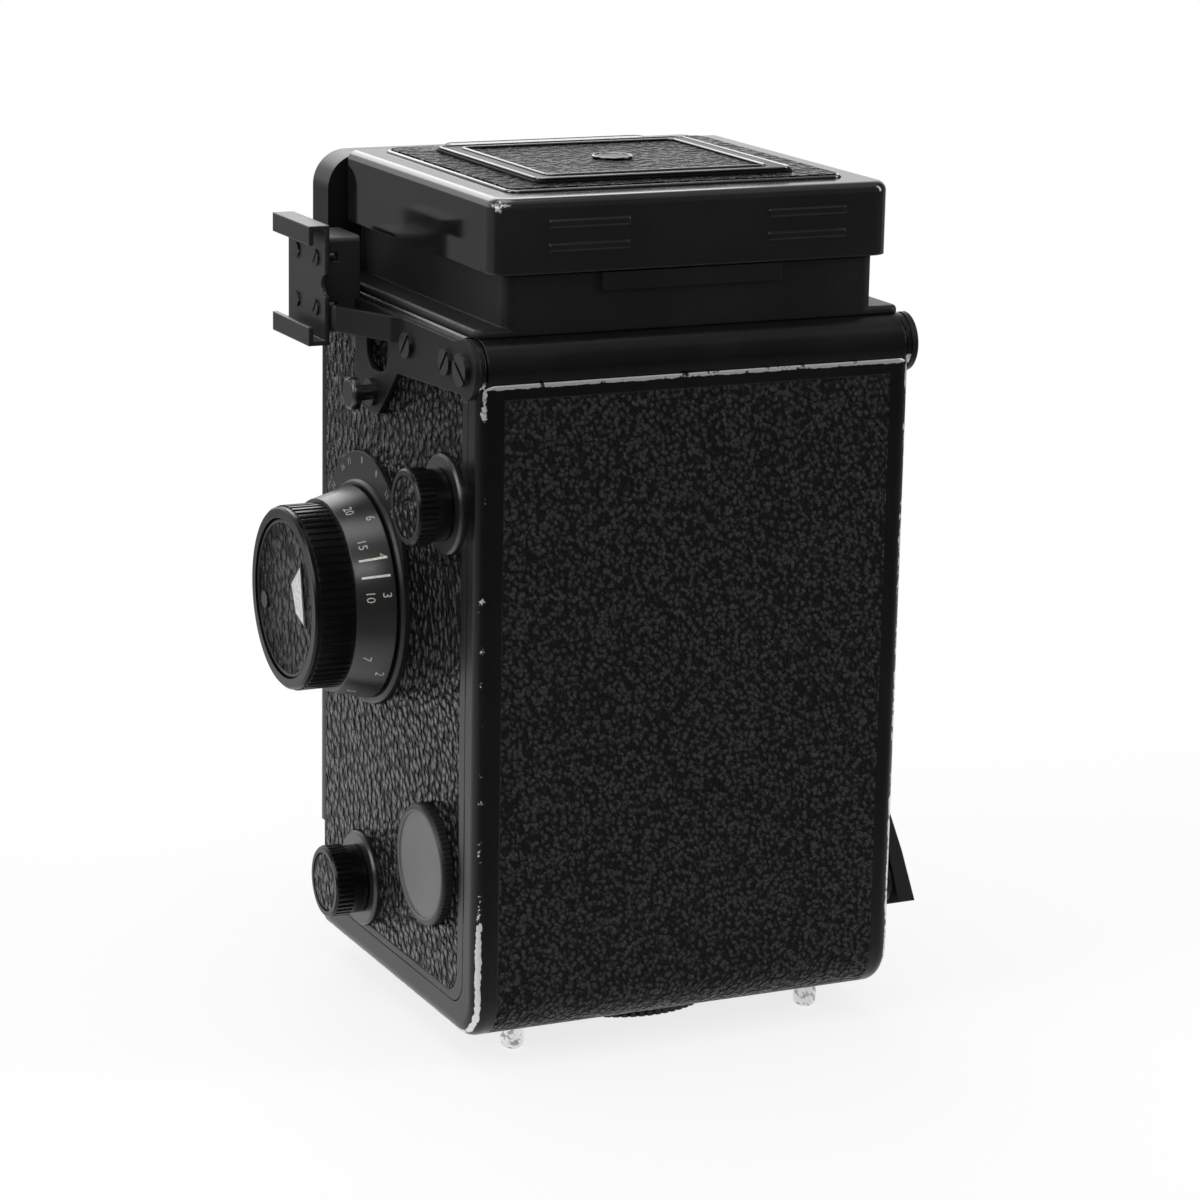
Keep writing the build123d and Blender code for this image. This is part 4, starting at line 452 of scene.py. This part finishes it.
def metalFinish(name, color, roughness, spread=0.12, brushed=0.4, mottle=0.0):
    # turned or plated metal: fine tool lines and a few smudges
    material, nodes, links, shader = newMaterial(name)
    place = objectPlace(nodes)
    smudge = noise(nodes, links, place, metalSet["smudge"], 4, 0.6)
    lines = noise(nodes, links, place, metalSet["lines"], 2, 0.5)
    tone = mapRange(nodes, links, smudge, *metalSet["smudges"])
    dark = tuple(channel * metalSet["darker"] for channel in color[:3]) + (1,)
    base = mixColor(nodes, links, tone, color, dark)
    if mottle > 0:
        spots = noise(nodes, links, place, metalSet["spot"], 3, 0.6)
        spots = mapRange(nodes, links, spots, *metalSet["spots"], 0.0, mottle)
        base = mixColor(nodes, links, spots, base, grey(metalSet["spotTone"]))
    links.new(base, shader.inputs["Base Color"])
    shader.inputs["Metallic"].default_value = 1.0
    rough = mapRange(nodes, links, smudge, 0.25, 0.8, roughness, roughness + spread)
    links.new(rough, shader.inputs["Roughness"])
    links.new(bump(nodes, links, lines, metalSet["relief"], brushed), shader.inputs["Normal"])
    return material


anodisedSet = {
    "cloud": 70, "clouds": (0.3, 0.7), "hazy": 1.5, "tint": 0.0004, "fine": 2200, "scuff": 520,
    "scuffRange": (0.62, 0.78), "rubbed": 7, "spread": 0.12, "relief": 0.00001, "strength": 0.3,
}


def anodisedFinish(name, color, roughness, shine=0.3, scuffs=0.3, edge=0.0003):
    # satin black anodised alloy with a haze and faint scuffs
    material, nodes, links, shader = newMaterial(name)
    place = objectPlace(nodes)
    cloud = noise(nodes, links, place, anodisedSet["cloud"], 4, 0.55)
    fine = noise(nodes, links, place, anodisedSet["fine"], 2, 0.5)
    scuff = noise(nodes, links, place, anodisedSet["scuff"], 6, 0.72)
    rubbed = mapRange(nodes, links, scuff, *anodisedSet["scuffRange"], 0.0, scuffs)
    hazy = grey(color * anodisedSet["hazy"], anodisedSet["tint"])
    base = mixColor(nodes, links, mapRange(nodes, links, cloud, *anodisedSet["clouds"]), grey(color), hazy)
    worn = grey(color * anodisedSet["rubbed"])
    links.new(mixColor(nodes, links, rubbed, base, worn), shader.inputs["Base Color"])
    rough = mapRange(nodes, links, cloud, 0.25, 0.8, roughness, roughness + anodisedSet["spread"])
    links.new(rough, shader.inputs["Roughness"])
    shader.inputs["Specular IOR Level"].default_value = shine
    relief = bump(nodes, links, fine, anodisedSet["relief"], anodisedSet["strength"], edge)
    links.new(relief, shader.inputs["Normal"])
    return material


portSet = {
    "axis": (0.01, 0.0298), "rim": 0.0092, "step": 0.0003, "face": 0.1, "dark": 0.006, "rough": 0.4,
    "cloud": 90, "fine": 2200, "tones": (0.85, 1.2), "spread": (0.06, 0.08), "relief": 0.00001,
    "strength": 0.4, "edge": 0.0002,
}


def portFinish(settings):
    # a pale satin face inside a black knurled rim; the face's paleness is partly its own satin tone and
    # partly a painted reflection of the white surroundings
    material, nodes, links, shader = newMaterial("portSatin")
    axes = splitPlace(nodes, links)
    across = mathNode(nodes, links, "SUBTRACT", axes["Y"], settings["axis"][0])
    up = mathNode(nodes, links, "SUBTRACT", axes["Z"], settings["axis"][1])
    out = radiusFrom(nodes, links, across, up)
    rim = mapRange(nodes, links, out, settings["rim"], settings["rim"] + settings["step"])
    place = objectPlace(nodes)
    cloud = noise(nodes, links, place, settings["cloud"], 4, 0.55)
    fine = noise(nodes, links, place, settings["fine"], 2, 0.5)
    # the face colour holds a painted reflection on top of its satin tone
    darker, lighter = (grey(settings["face"] * tone) for tone in settings["tones"])
    face = mixColor(nodes, links, cloud, darker, lighter)
    links.new(mixColor(nodes, links, rim, face, grey(settings["dark"])), shader.inputs["Base Color"])
    smoother, rougher = settings["rough"] - settings["spread"][0], settings["rough"] + settings["spread"][1]
    rough = mapRange(nodes, links, cloud, 0.25, 0.8, smoother, rougher)
    links.new(rough, shader.inputs["Roughness"])
    relief = bump(nodes, links, fine, settings["relief"], settings["strength"], settings["edge"])
    links.new(relief, shader.inputs["Normal"])
    return material


plasticSet = {"mould": 1300, "cloud": 40, "lighter": 1.4, "spread": 0.08, "relief": 0.00002, "strength": 0.4}


def plasticFinish(name, color, roughness, shine=0.3):
    # black moulding with a fine mould texture
    material, nodes, links, shader = newMaterial(name)
    place = objectPlace(nodes)
    mould = noise(nodes, links, place, plasticSet["mould"], 3, 0.5)
    cloud = noise(nodes, links, place, plasticSet["cloud"], 3, 0.5)
    lighter = grey(color * plasticSet["lighter"])
    links.new(mixColor(nodes, links, cloud, grey(color), lighter), shader.inputs["Base Color"])
    rough = mapRange(nodes, links, cloud, 0.3, 0.7, roughness, roughness + plasticSet["spread"])
    links.new(rough, shader.inputs["Roughness"])
    shader.inputs["Specular IOR Level"].default_value = shine
    relief = bump(nodes, links, mould, plasticSet["relief"], plasticSet["strength"])
    links.new(relief, shader.inputs["Normal"])
    return material


glassSet = {
    "dust": 800, "dustRange": (0.5, 0.8), "dusty": 0.06, "index": 1.5, "coatTint": (0.55, 0.45, 1.0, 1),
}


def glassFinish(name, tint, roughness, coat):
    # coated glass with a trace of dust
    material, nodes, links, shader = newMaterial(name)
    dust = noise(nodes, links, objectPlace(nodes), glassSet["dust"], 4, 0.6)
    shader.inputs["Base Color"].default_value = tint
    shader.inputs["Transmission Weight"].default_value = 1.0
    shader.inputs["IOR"].default_value = glassSet["index"]
    shader.inputs["Coat Weight"].default_value = coat
    shader.inputs["Coat Tint"].default_value = glassSet["coatTint"]
    rough = mapRange(nodes, links, dust, *glassSet["dustRange"], roughness, roughness + glassSet["dusty"])
    links.new(rough, shader.inputs["Roughness"])
    return material


screenSet = {
    "centres": (("X", 0.0), ("Y", -0.007)), "offsets": (-0.018, 0.0, 0.018), "line": (0.00018, 0.00008),
    "tooth": 4200, "tones": ((0.55, 0.58, 0.56, 1), (0.68, 0.7, 0.68, 1)), "red": (0.35, 0.05, 0.04, 1),
    "clear": 0.35, "rough": 0.4, "relief": 0.00002, "strength": 0.5,
}


def screenFinish(settings):
    # ground glass with red hair lines in a grid
    material, nodes, links, shader = newMaterial("groundScreen")
    axes = splitPlace(nodes, links)
    grid = None
    for output, centre in settings["centres"]:
        for offset in settings["offsets"]:
            gap = mathNode(nodes, links, "SUBTRACT", axes[output], centre + offset)
            line = mapRange(nodes, links, mathNode(nodes, links, "ABSOLUTE", gap), *settings["line"])
            grid = line if grid is None else mathNode(nodes, links, "MAXIMUM", grid, line)
    tooth = noise(nodes, links, objectPlace(nodes), settings["tooth"], 2, 0.5)
    base = mixColor(nodes, links, tooth, *settings["tones"])
    links.new(mixColor(nodes, links, grid, base, settings["red"]), shader.inputs["Base Color"])
    shader.inputs["Transmission Weight"].default_value = settings["clear"]
    shader.inputs["Roughness"].default_value = settings["rough"]
    links.new(bump(nodes, links, tooth, settings["relief"], settings["strength"]), shader.inputs["Normal"])
    return material


cellSet = {
    "pitch": 0.0021, "skin": 0.22, "depth": 0.0005, "round": 0.5, "domes": (0.1, 0.8), "clear": 0.2,
    "tones": ((0.12, 0.125, 0.12, 1), (0.6, 0.62, 0.58, 1)), "strength": 0.8,
}


def cellFinish(settings):
    # light cell window: a close grid of small domes set on the diagonal
    material, nodes, links, shader = newMaterial("cellWindow")
    axes = splitPlace(nodes, links)
    slopes = []
    for operation in ("ADD", "SUBTRACT"):
        across = mathNode(nodes, links, operation, axes["X"], axes["Z"])
        turn = mathNode(nodes, links, "MULTIPLY", across, math.pi / settings["pitch"])
        slopes.append(mathNode(nodes, links, "ABSOLUTE", mathNode(nodes, links, "SINE", turn)))
    dome = mathNode(nodes, links, "MULTIPLY", slopes[0], slopes[1])
    dome = mathNode(nodes, links, "POWER", dome, settings["round"])
    lit = mapRange(nodes, links, dome, *settings["domes"])
    links.new(mixColor(nodes, links, lit, *settings["tones"]), shader.inputs["Base Color"])
    shader.inputs["Roughness"].default_value = settings["skin"]
    shader.inputs["Transmission Weight"].default_value = settings["clear"]
    links.new(bump(nodes, links, dome, settings["depth"], settings["strength"]), shader.inputs["Normal"])
    return material


paleSet = {"uneven": 1400, "range": (0.35, 0.65), "dull": 0.7}


def paleFinish(name, color, roughness=0.4):
    # paint in engraved figures and pale windows, a little uneven
    material, nodes, links, shader = newMaterial(name)
    uneven = noise(nodes, links, objectPlace(nodes), paleSet["uneven"], 4, 0.6)
    uneven = mapRange(nodes, links, uneven, *paleSet["range"])
    dull = tuple(channel * paleSet["dull"] for channel in color[:3]) + (1,)
    links.new(mixColor(nodes, links, uneven, dull, color), shader.inputs["Base Color"])
    shader.inputs["Roughness"].default_value = roughness
    return material


enamel = {"color": 0.003, "rough": 0.24, "shine": 0.32, "grain": 0.0}
lidEnamel = {"color": 0.006, "rough": 0.06, "shine": 0.95, "grain": 0.0}
frameEnamel = {"color": 0.003, "rough": 0.34, "shine": 0.12, "grain": 0.2}
crinkle = {"color": 0.005, "rough": 0.4, "shine": 0.3, "grain": 0.6}
shoeLacquer = {"color": 0.014, "rough": 0.32, "shine": 0.7, "grain": 0.3}

finishes = {
    "enamel": paintFinish("blackEnamel", enamel),
    "doorEnamel": paintFinish("doorEnamel", enamel, doorMask),
    "lidEnamel": paintFinish("lidEnamel", lidEnamel, lidMask),
    "hoodCrinkle": paintFinish("hoodLacquer", crinkle),
    "frameEnamel": paintFinish("frameEnamel", frameEnamel),
    "shoeLacquer": paintFinish("shoeLacquer", shoeLacquer),
    "leather": leatherFinish("pebbledLeather", leatherSet),
    "sideLeather": leatherFinish("sideLeather", sideLeatherSet),
    "lidLeather": leatherFinish("lidLeather", lidLeatherSet),
    "anodised": anodisedFinish("satinAnodised", 0.008, 0.28, shine=0.36),
    "drumSatin": anodisedFinish("drumSatin", 0.01, 0.24, shine=0.75),
    "portFace": portFinish(portSet),
    "knurl": anodisedFinish("knurledAnodised", 0.0025, 0.2, shine=0.3, scuffs=0.2, edge=0.00012),
    "screws": metalFinish("blackenedSteel", grey(0.11), 0.28),
    "chrome": metalFinish("satinChrome", grey(0.72, 0.01), 0.16),
    # painted highlight: the beads' dark grey metal stands in for the bright reflections on the lid's black
    # enamel lips
    "bead": metalFinish("highlightBead", grey(0.2), 0.12, spread=0.06, brushed=0.2),
    "feetMetal": metalFinish("footMetal", grey(0.85), 0.22, mottle=0.7),
    "steel": metalFinish("turnedSteel", grey(0.55), 0.26),
    "brass": metalFinish("machinedBrass", (0.72, 0.5, 0.2, 1), 0.24),
    "plastic": plasticFinish("blackMoulding", 0.006, 0.3),
    "lensGlass": glassFinish("coatedGlass", (0.93, 0.95, 1.0, 1), 0.0, coat=0.6),
    "screen": screenFinish(screenSet),
    "cell": cellFinish(cellSet),
    "mirror": metalFinish("silverMirror", grey(0.9), 0.02, spread=0.02, brushed=0.02),
    "figures": paleFinish("figurePaint", (0.5, 0.48, 0.42, 1)),
    "dimFigures": paleFinish("dimFigures", (0.36, 0.34, 0.3, 1)),
    "indexPaint": paleFinish("indexPaint", (0.85, 0.83, 0.76, 1)),
    "window": paleFinish("paleWindow", (0.62, 0.64, 0.64, 1), roughness=0.15),
}

nodeFinish = {
    "enamel": ("body_casting", "left_body_wall", "right_body_wall", "front_plate"),
    "doorEnamel": ("back_door",),
    "lidEnamel": ("hood_lid",),
    "frameEnamel": ("finder_frame",),
    "hoodCrinkle": ("hood_base", "side_covers", "pressure_plate", "left_strap_plate", "right_strap_plate",
                    "left_hood_panel", "right_hood_panel", "rear_hood_panel"),
    "shoeLacquer": ("accessory_shoe",),
    "leather": ("back_leather",),
    "sideLeather": ("side_leathers", "knob_insert"),
    "lidLeather": ("lid_leather",),
    "drumSatin": ("focus_drum", "spool_knob_rings"),
    "anodised": ("focus_base_ring", "focus_dial_plate", "crank_hub",
                 "crank_arm", "lens_standard", "lens_barrels"),
    "portFace": ("port_cover",),
    "knurl": ("focus_knob", "upper_spool_knob", "lower_spool_knob", "lock_ring", "aperture_wheel",
              "shutter_wheel"),
    "screws": ("plate_screws", "hinge_pins", "strap_studs", "shoe_screws"),
    "chrome": ("lens_bayonets", "release_button", "release_lock_ring", "self_timer_lever"),
    "feetMetal": ("feet",),
    "steel": ("tripod_bush", "pressure_springs", "upper_film_roller", "lower_film_roller", "focus_shaft"),
    "brass": ("crank_gear", "idler_gear", "take_up_gear"),
    "plastic": ("take_up_spool", "crank_handle", "meter_housing"),
    "lensGlass": ("lens_glass", "magnifier"),
    "screen": ("focusing_screen",),
    "cell": ("meter_cell",),
    "mirror": ("mirror",),
}


def dress(finish, names):
    for name in names:
        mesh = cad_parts[name].data
        mesh.materials.clear()
        mesh.materials.append(finishes[finish])


for finish, names in nodeFinish.items():
    dress(finish, names)
print("finishes on all CAD nodes:", sum(len(names) for names in nodeFinish.values()))


# small pieces: each rides the CAD body it is fixed to
def addPiece(name, vertices, faces, finish, body, recordSlot, smooth=False):
    mesh = bpy.data.meshes.new(name)
    mesh.from_pydata([tuple(value * millimetre for value in vertex) for vertex in vertices], [], faces)
    shape = bmesh.new()
    shape.from_mesh(mesh)
    bmesh.ops.recalc_face_normals(shape, faces=shape.faces)
    shape.to_mesh(mesh)
    shape.free()
    for face in mesh.polygons:
        face.use_smooth = smooth
    mesh.materials.append(finishes[finish])
    piece = bpy.data.objects.new(name, mesh)
    bpy.context.collection.objects.link(piece)
    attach(piece, body)
    return piece


def turned(axis, centre, profile, steps=72):
    # a closed profile of (radius, place along the axis) turned round an axis line
    other = {"X": (1, 2), "Y": (0, 2), "Z": (0, 1)}[axis]
    along = "XYZ".index(axis)
    vertices, faces = [], []
    for step in range(steps):
        angle = 2 * math.pi * step / steps
        for radius, reach in profile:
            point = [0.0, 0.0, 0.0]
            point[along] = reach
            point[other[0]] = centre[0] + radius * math.cos(angle)
            point[other[1]] = centre[1] + radius * math.sin(angle)
            vertices.append(tuple(point))
    count = len(profile)
    for step in range(steps):
        following = (step + 1) % steps
        for index in range(count):
            nextIndex = (index + 1) % count
            faces.append((step * count + index, step * count + nextIndex, following * count + nextIndex,
                          following * count + index))
    return vertices, faces


def slab(outline, lift, thickness):
    # an outline of points raised between two heights; lift gives the 3-D place of (u, v, height)
    count = len(outline)
    vertices = [lift(u, v, 0.0) for u, v in outline] + [lift(u, v, thickness) for u, v in outline]
    faces = [tuple(range(count)), tuple(range(2 * count - 1, count - 1, -1))]
    faces += [(i, (i + 1) % count, count + (i + 1) % count, count + i) for i in range(count)]
    return vertices, faces


def loopBead(outline, half, lift, steps=6):
    # a raised bead of half round section along a closed outline
    count = len(outline)
    section = [(math.cos(math.pi * k / steps), math.sin(math.pi * k / steps)) for k in range(steps + 1)]
    vertices, faces = [], []
    for index in range(count):
        before, here, after = outline[index - 1], outline[index], outline[(index + 1) % count]
        dx, dy = after[0] - before[0], after[1] - before[1]
        size = math.hypot(dx, dy)
        for across, rise in section:
            vertices.append(lift(here[0] + dy / size * across * half,
                                 here[1] - dx / size * across * half, rise * half))
    width = len(section)
    for index in range(count):
        following = (index + 1) % count
        for k in range(width):
            nextK = (k + 1) % width
            faces.append((index * width + k, index * width + nextK,
                          following * width + nextK, following * width + k))
    return vertices, faces


def ringOutline(centre, radius, count):
    angles = [k * math.pi / (count // 2) for k in range(count)]
    return [(centre[0] + radius * math.cos(angle), centre[1] + radius * math.sin(angle)) for angle in angles]


def roundedOutline(low, high, corner, steps=6):
    right, top = high[0] - corner, high[1] - corner
    left, bottom = low[0] + corner, low[1] + corner
    middles = ((right, top), (left, top), (left, bottom), (right, bottom))
    points = []
    for (cx, cy), start in zip(middles, (0, 90, 180, 270)):
        for step in range(steps + 1):
            angle = math.radians(start + 90 * step / steps)
            points.append((cx + corner * math.cos(angle), cy + corner * math.sin(angle)))
    return points


figureSet = {"steps": 3, "half": 0.02}


def figureMesh(text, size):
    # the flat figures as (vertices, faces) in millimetres, centred on the origin
    curve = bpy.data.curves.new("figureCurve", "FONT")
    curve.body = text
    curve.size = size
    curve.align_x = "CENTER"
    curve.align_y = "CENTER"
    curve.resolution_u = figureSet["steps"]
    curve.extrude = figureSet["half"]
    holder = bpy.data.objects.new("figureHolder", curve)
    bpy.context.collection.objects.link(holder)
    shape = bpy.data.meshes.new_from_object(holder.evaluated_get(bpy.context.evaluated_depsgraph_get()))
    vertices = [tuple(vertex.co) for vertex in shape.vertices]
    faces = [tuple(face.vertices) for face in shape.polygons]
    bpy.data.objects.remove(holder)
    bpy.data.curves.remove(curve)
    bpy.data.meshes.remove(shape)
    return vertices, faces


def joined(parts):
    vertices, faces = [], []
    for partVertices, partFaces in parts:
        start = len(vertices)
        vertices += partVertices
        faces += [tuple(index + start for index in face) for face in partFaces]
    return vertices, faces


# figures and index lines on the focusing drum
drumSet = {
    "axis": (-18.6, 70.6), "low": (41.1, 18.4), "high": (47.6, 16.6),
    "outer": (("20", 67.5), ("15", 41.5), ("10", 11.0), ("7", -27.0), ("5", -62.0), ("4", -98.0)),
    "outerX": 45.4,
    "inner": (("6", 57.5), ("4", 33.0), ("3", 11.5), ("2", -37.5), ("1.5", -80.0)), "innerX": 42.7,
    "size": 2.1, "wrap": 17.4, "rise": 0.03,
    "lines": (32.0, 22.0), "lineReach": (41.8, 46.5), "lineHalf": 0.011, "lineRise": 0.01, "lineThick": 0.05,
}


def onDrum(x, angle, rise):
    (lowX, lowR), (highX, highR) = drumSet["low"], drumSet["high"]
    radius = lowR + (highR - lowR) * (x - lowX) / (highX - lowX) + rise
    return (x, drumSet["axis"][0] + radius * math.cos(angle), drumSet["axis"][1] + radius * math.sin(angle))


def drumFigures(settings):
    parts = []
    for row, rowX in (("outer", settings["outerX"]), ("inner", settings["innerX"])):
        for text, degrees in settings[row]:
            vertices, faces = figureMesh(text, settings["size"])
            turn = math.radians(degrees)
            placed = [onDrum(rowX - v, turn - u / settings["wrap"], settings["rise"] + w)
                      for u, v, w in vertices]
            parts.append((placed, faces))
    return joined(parts)


def drumLines(settings):
    parts = []
    (low, high), half = settings["lineReach"], settings["lineHalf"]
    outline = [(low, -half), (high, -half), (high, half), (low, half)]
    for degrees in settings["lines"]:
        def onLine(u, v, w, middle=math.radians(degrees)):
            return onDrum(u, middle + v, settings["lineRise"] + w)
        parts.append(slab(outline, onLine, settings["lineThick"]))
    return joined(parts)


addPiece("drumFigures", *drumFigures(drumSet), "figures", "focus", "satin_black")
addPiece("drumLines", *drumLines(drumSet), "indexPaint", "focus", "satin_black")

# figures on the depth plate behind the drum
plateSet = {
    "centre": (-18.6, 76.6), "x": 40.05, "radius": 16.9, "size": 1.7, "rise": 0.03,
    "figures": (("22", 144.6), ("16", 124.6), ("11", 112.5), ("8", 92.2), ("8", 69.5), ("11", 51.0),
                ("16", 38.5)),
}


def plateFigures(settings):
    parts = []
    for text, degrees in settings["figures"]:
        angle = math.radians(degrees)
        vertices, faces = figureMesh(text, settings["size"])
        placed = []
        for u, v, w in vertices:
            reach = settings["radius"] + v
            placed.append((settings["x"] + settings["rise"] + w,
                           settings["centre"][0] + reach * math.cos(angle) + u * math.sin(angle),
                           settings["centre"][1] + reach * math.sin(angle) - u * math.cos(angle)))
        parts.append((placed, faces))
    return joined(parts)


addPiece("plateFigures", *plateFigures(plateSet), "dimFigures", "body", "satin_black")

# window, notch and rim on the focusing knob's face
knobSet = {
    "axis": (-18.6, 70.6), "leatherX": 54.3,
    "window": ((7.4, 7.0), (9.2, -2.5), (5.6, -1.3), (3.4, 3.3)), "windowThick": 0.18,
    "frame": ((7.7, 7.9), (10.1, -3.0), (5.1, -1.7), (2.6, 3.6)), "frameThick": 0.12,
    "notch": (-10.0, -2.5), "notchRadius": 1.5, "notchSteps": 24, "notchThick": 0.16,
    "rim": ((13.75, 53.85), (13.0, 53.85), (13.0, 54.35), (13.2, 54.5), (13.75, 54.2)), "rimSteps": 96,
}


def onKnob(y, z, rise):
    return (knobSet["leatherX"] + rise, knobSet["axis"][0] + y, knobSet["axis"][1] + z)


window = slab(knobSet["window"], onKnob, knobSet["windowThick"])
addPiece("knobWindow", *window, "window", "focus", "satin_black")
windowFrame = slab(knobSet["frame"], onKnob, knobSet["frameThick"])
addPiece("knobWindowFrame", *windowFrame, "knurl", "focus", "satin_black")
notchOutline = ringOutline(knobSet["notch"], knobSet["notchRadius"], knobSet["notchSteps"])
addPiece("knobNotch", *slab(notchOutline, onKnob, knobSet["notchThick"]), "knurl", "focus", "satin_black")
rim = turned("X", knobSet["axis"], knobSet["rim"], knobSet["rimSteps"])
addPiece("knobRim", *rim, "anodised", "focus", "satin_black", True)

# leather discs in the two spool knobs
spoolSet = {
    "knobs": (
        ("upperKnobLeather", "upper_knob", (16.0, 93.2)),
        ("lowerKnobLeather", "lower_knob", (-20.4, 18.2)),
    ),
    "face": 46.5, "radius": 5.1, "back": 0.38, "edge": 0.12, "bevel": 0.4, "front": 0.02, "steps": 48,
}


def spoolProfile(settings):
    radius, face = settings["radius"], settings["face"]
    back, edge, front = (face - settings[depth] for depth in ("back", "edge", "front"))
    return ((0.0, back), (radius, back), (radius, edge), (radius - settings["bevel"], front), (0.0, front))


for pieceName, knobBody, knobAxis in spoolSet["knobs"]:
    disc = turned("X", knobAxis, spoolProfile(spoolSet), spoolSet["steps"])
    addPiece(pieceName, *disc, "sideLeather", knobBody, "leatherette", False)

# lid: beads round the leather, the finder flap and its frame, and a blank badge with its own bead; the beads'
# dark grey metal is a painted highlight standing in for the bright reflections on the black enamel lips;
# each bead has its name, two opposite corners, corner radius, half width and height
lidSet = {
    "beads": (
        ("lidLeatherBead", (-30.3, -33.2), (30.3, 19.9), 1.8, 0.42, 144.4),
        ("flapBead", (-20.1, -24.0), (20.1, 11.9), 1.2, 0.32, 145.7),
        ("frameBead", (-23.2, -27.1), (23.2, 15.0), 1.6, 0.32, 145.7 - 0.1),
    ),
    "badge": (0.0, -6.0), "badgeSteps": 64, "badgeRadius": 3.3, "badgeHalf": 0.26, "badgeZ": 145.82,
    "badgeProfile": ((0.0, 145.58), (3.3, 145.58), (3.3, 145.84), (3.0, 145.92), (0.0, 145.86)),
}


def onLid(z):
    return lambda x, y, rise: (x, y, z + rise)


for pieceName, low, high, corner, half, z in lidSet["beads"]:
    bead = loopBead(roundedOutline(low, high, corner), half, onLid(z))
    addPiece(pieceName, *bead, "bead", "lid", "gloss_black", True)
badge = turned("Z", lidSet["badge"], lidSet["badgeProfile"], lidSet["badgeSteps"])
addPiece("lidBadge", *badge, "frameEnamel", "lid", "gloss_black", False)
badgeRing = ringOutline(lidSet["badge"], lidSet["badgeRadius"], lidSet["badgeSteps"])
badgeBead = loopBead(badgeRing, lidSet["badgeHalf"], onLid(lidSet["badgeZ"]))
addPiece("lidBadgeBead", *badgeBead, "bead", "lid", "gloss_black", True)

# scale window in the top of the meter housing
meterSet = {
    "low": (-24.0, -45.9), "high": (14.0, -41.2), "z": 143.38, "corner": 1.4, "thick": 0.25, "half": 0.35,
}
meterOutline = roundedOutline(meterSet["low"], meterSet["high"], meterSet["corner"])
onMeter = onLid(meterSet["z"])
meterWindow = slab(meterOutline, onMeter, meterSet["thick"])
addPiece("meterScaleWindow", *meterWindow, "window", "body", "cell_window")
meterBead = loopBead(meterOutline, meterSet["half"], onMeter)
addPiece("meterScaleBead", *meterBead, "plastic", "body", "black_plastic", True)

# rings in front of the lens glass, and the iris behind the taking lens
lensSet = {
    "taking": 48.5, "viewing": 90.5, "ringSteps": 96,
    "ring": ((12.9, -64.9), (11.3, -64.1), (11.3, -63.75), (12.9, -63.75)),
    "iris": ((8.9, -58.2), (3.0, -58.2), (3.0, -57.9), (8.9, -57.9)), "irisSteps": 7 * 8,
}
for lensName in ("taking", "viewing"):
    ringShape = turned("Y", (0.0, lensSet[lensName]), lensSet["ring"], lensSet["ringSteps"])
    addPiece(lensName + "GlassRing", *ringShape, "knurl", "lens_board", "satin_black", False)
iris = turned("Y", (0.0, lensSet["taking"]), lensSet["iris"], lensSet["irisSteps"])
addPiece("irisBlades", *iris, "knurl", "lens_board", "satin_black", False)

# contact tube inside the flash socket
syncSet = {
    "centre": (24.0, 35.0), "steps": 32,
    "profile": ((0.95, -55.1), (0.6, -55.1), (0.6, -52.6), (0.95, -52.6)),
}
syncTube = turned("Y", syncSet["centre"], syncSet["profile"], syncSet["steps"])
addPiece("syncContact", *syncTube, "brass", "lens_board", "brass", False)

# white dots on the two setting wheels
dotSet = {
    "wheels": (("aperture", 20.0), ("shutter", -20.0)), "wheelZ": 69.5, "above": 4.6, "steps": 20,
    "profile": ((0.0, -56.5), (0.5, -56.5), (0.5, -56.42), (0.0, -56.42)),
}
for wheelBody, wheelX in dotSet["wheels"]:
    centre = (wheelX, dotSet["wheelZ"] + dotSet["above"])
    dot = turned("Y", centre, dotSet["profile"], dotSet["steps"])
    addPiece(wheelBody + "Dot", *dot, "indexPaint", wheelBody, "satin_black", False)
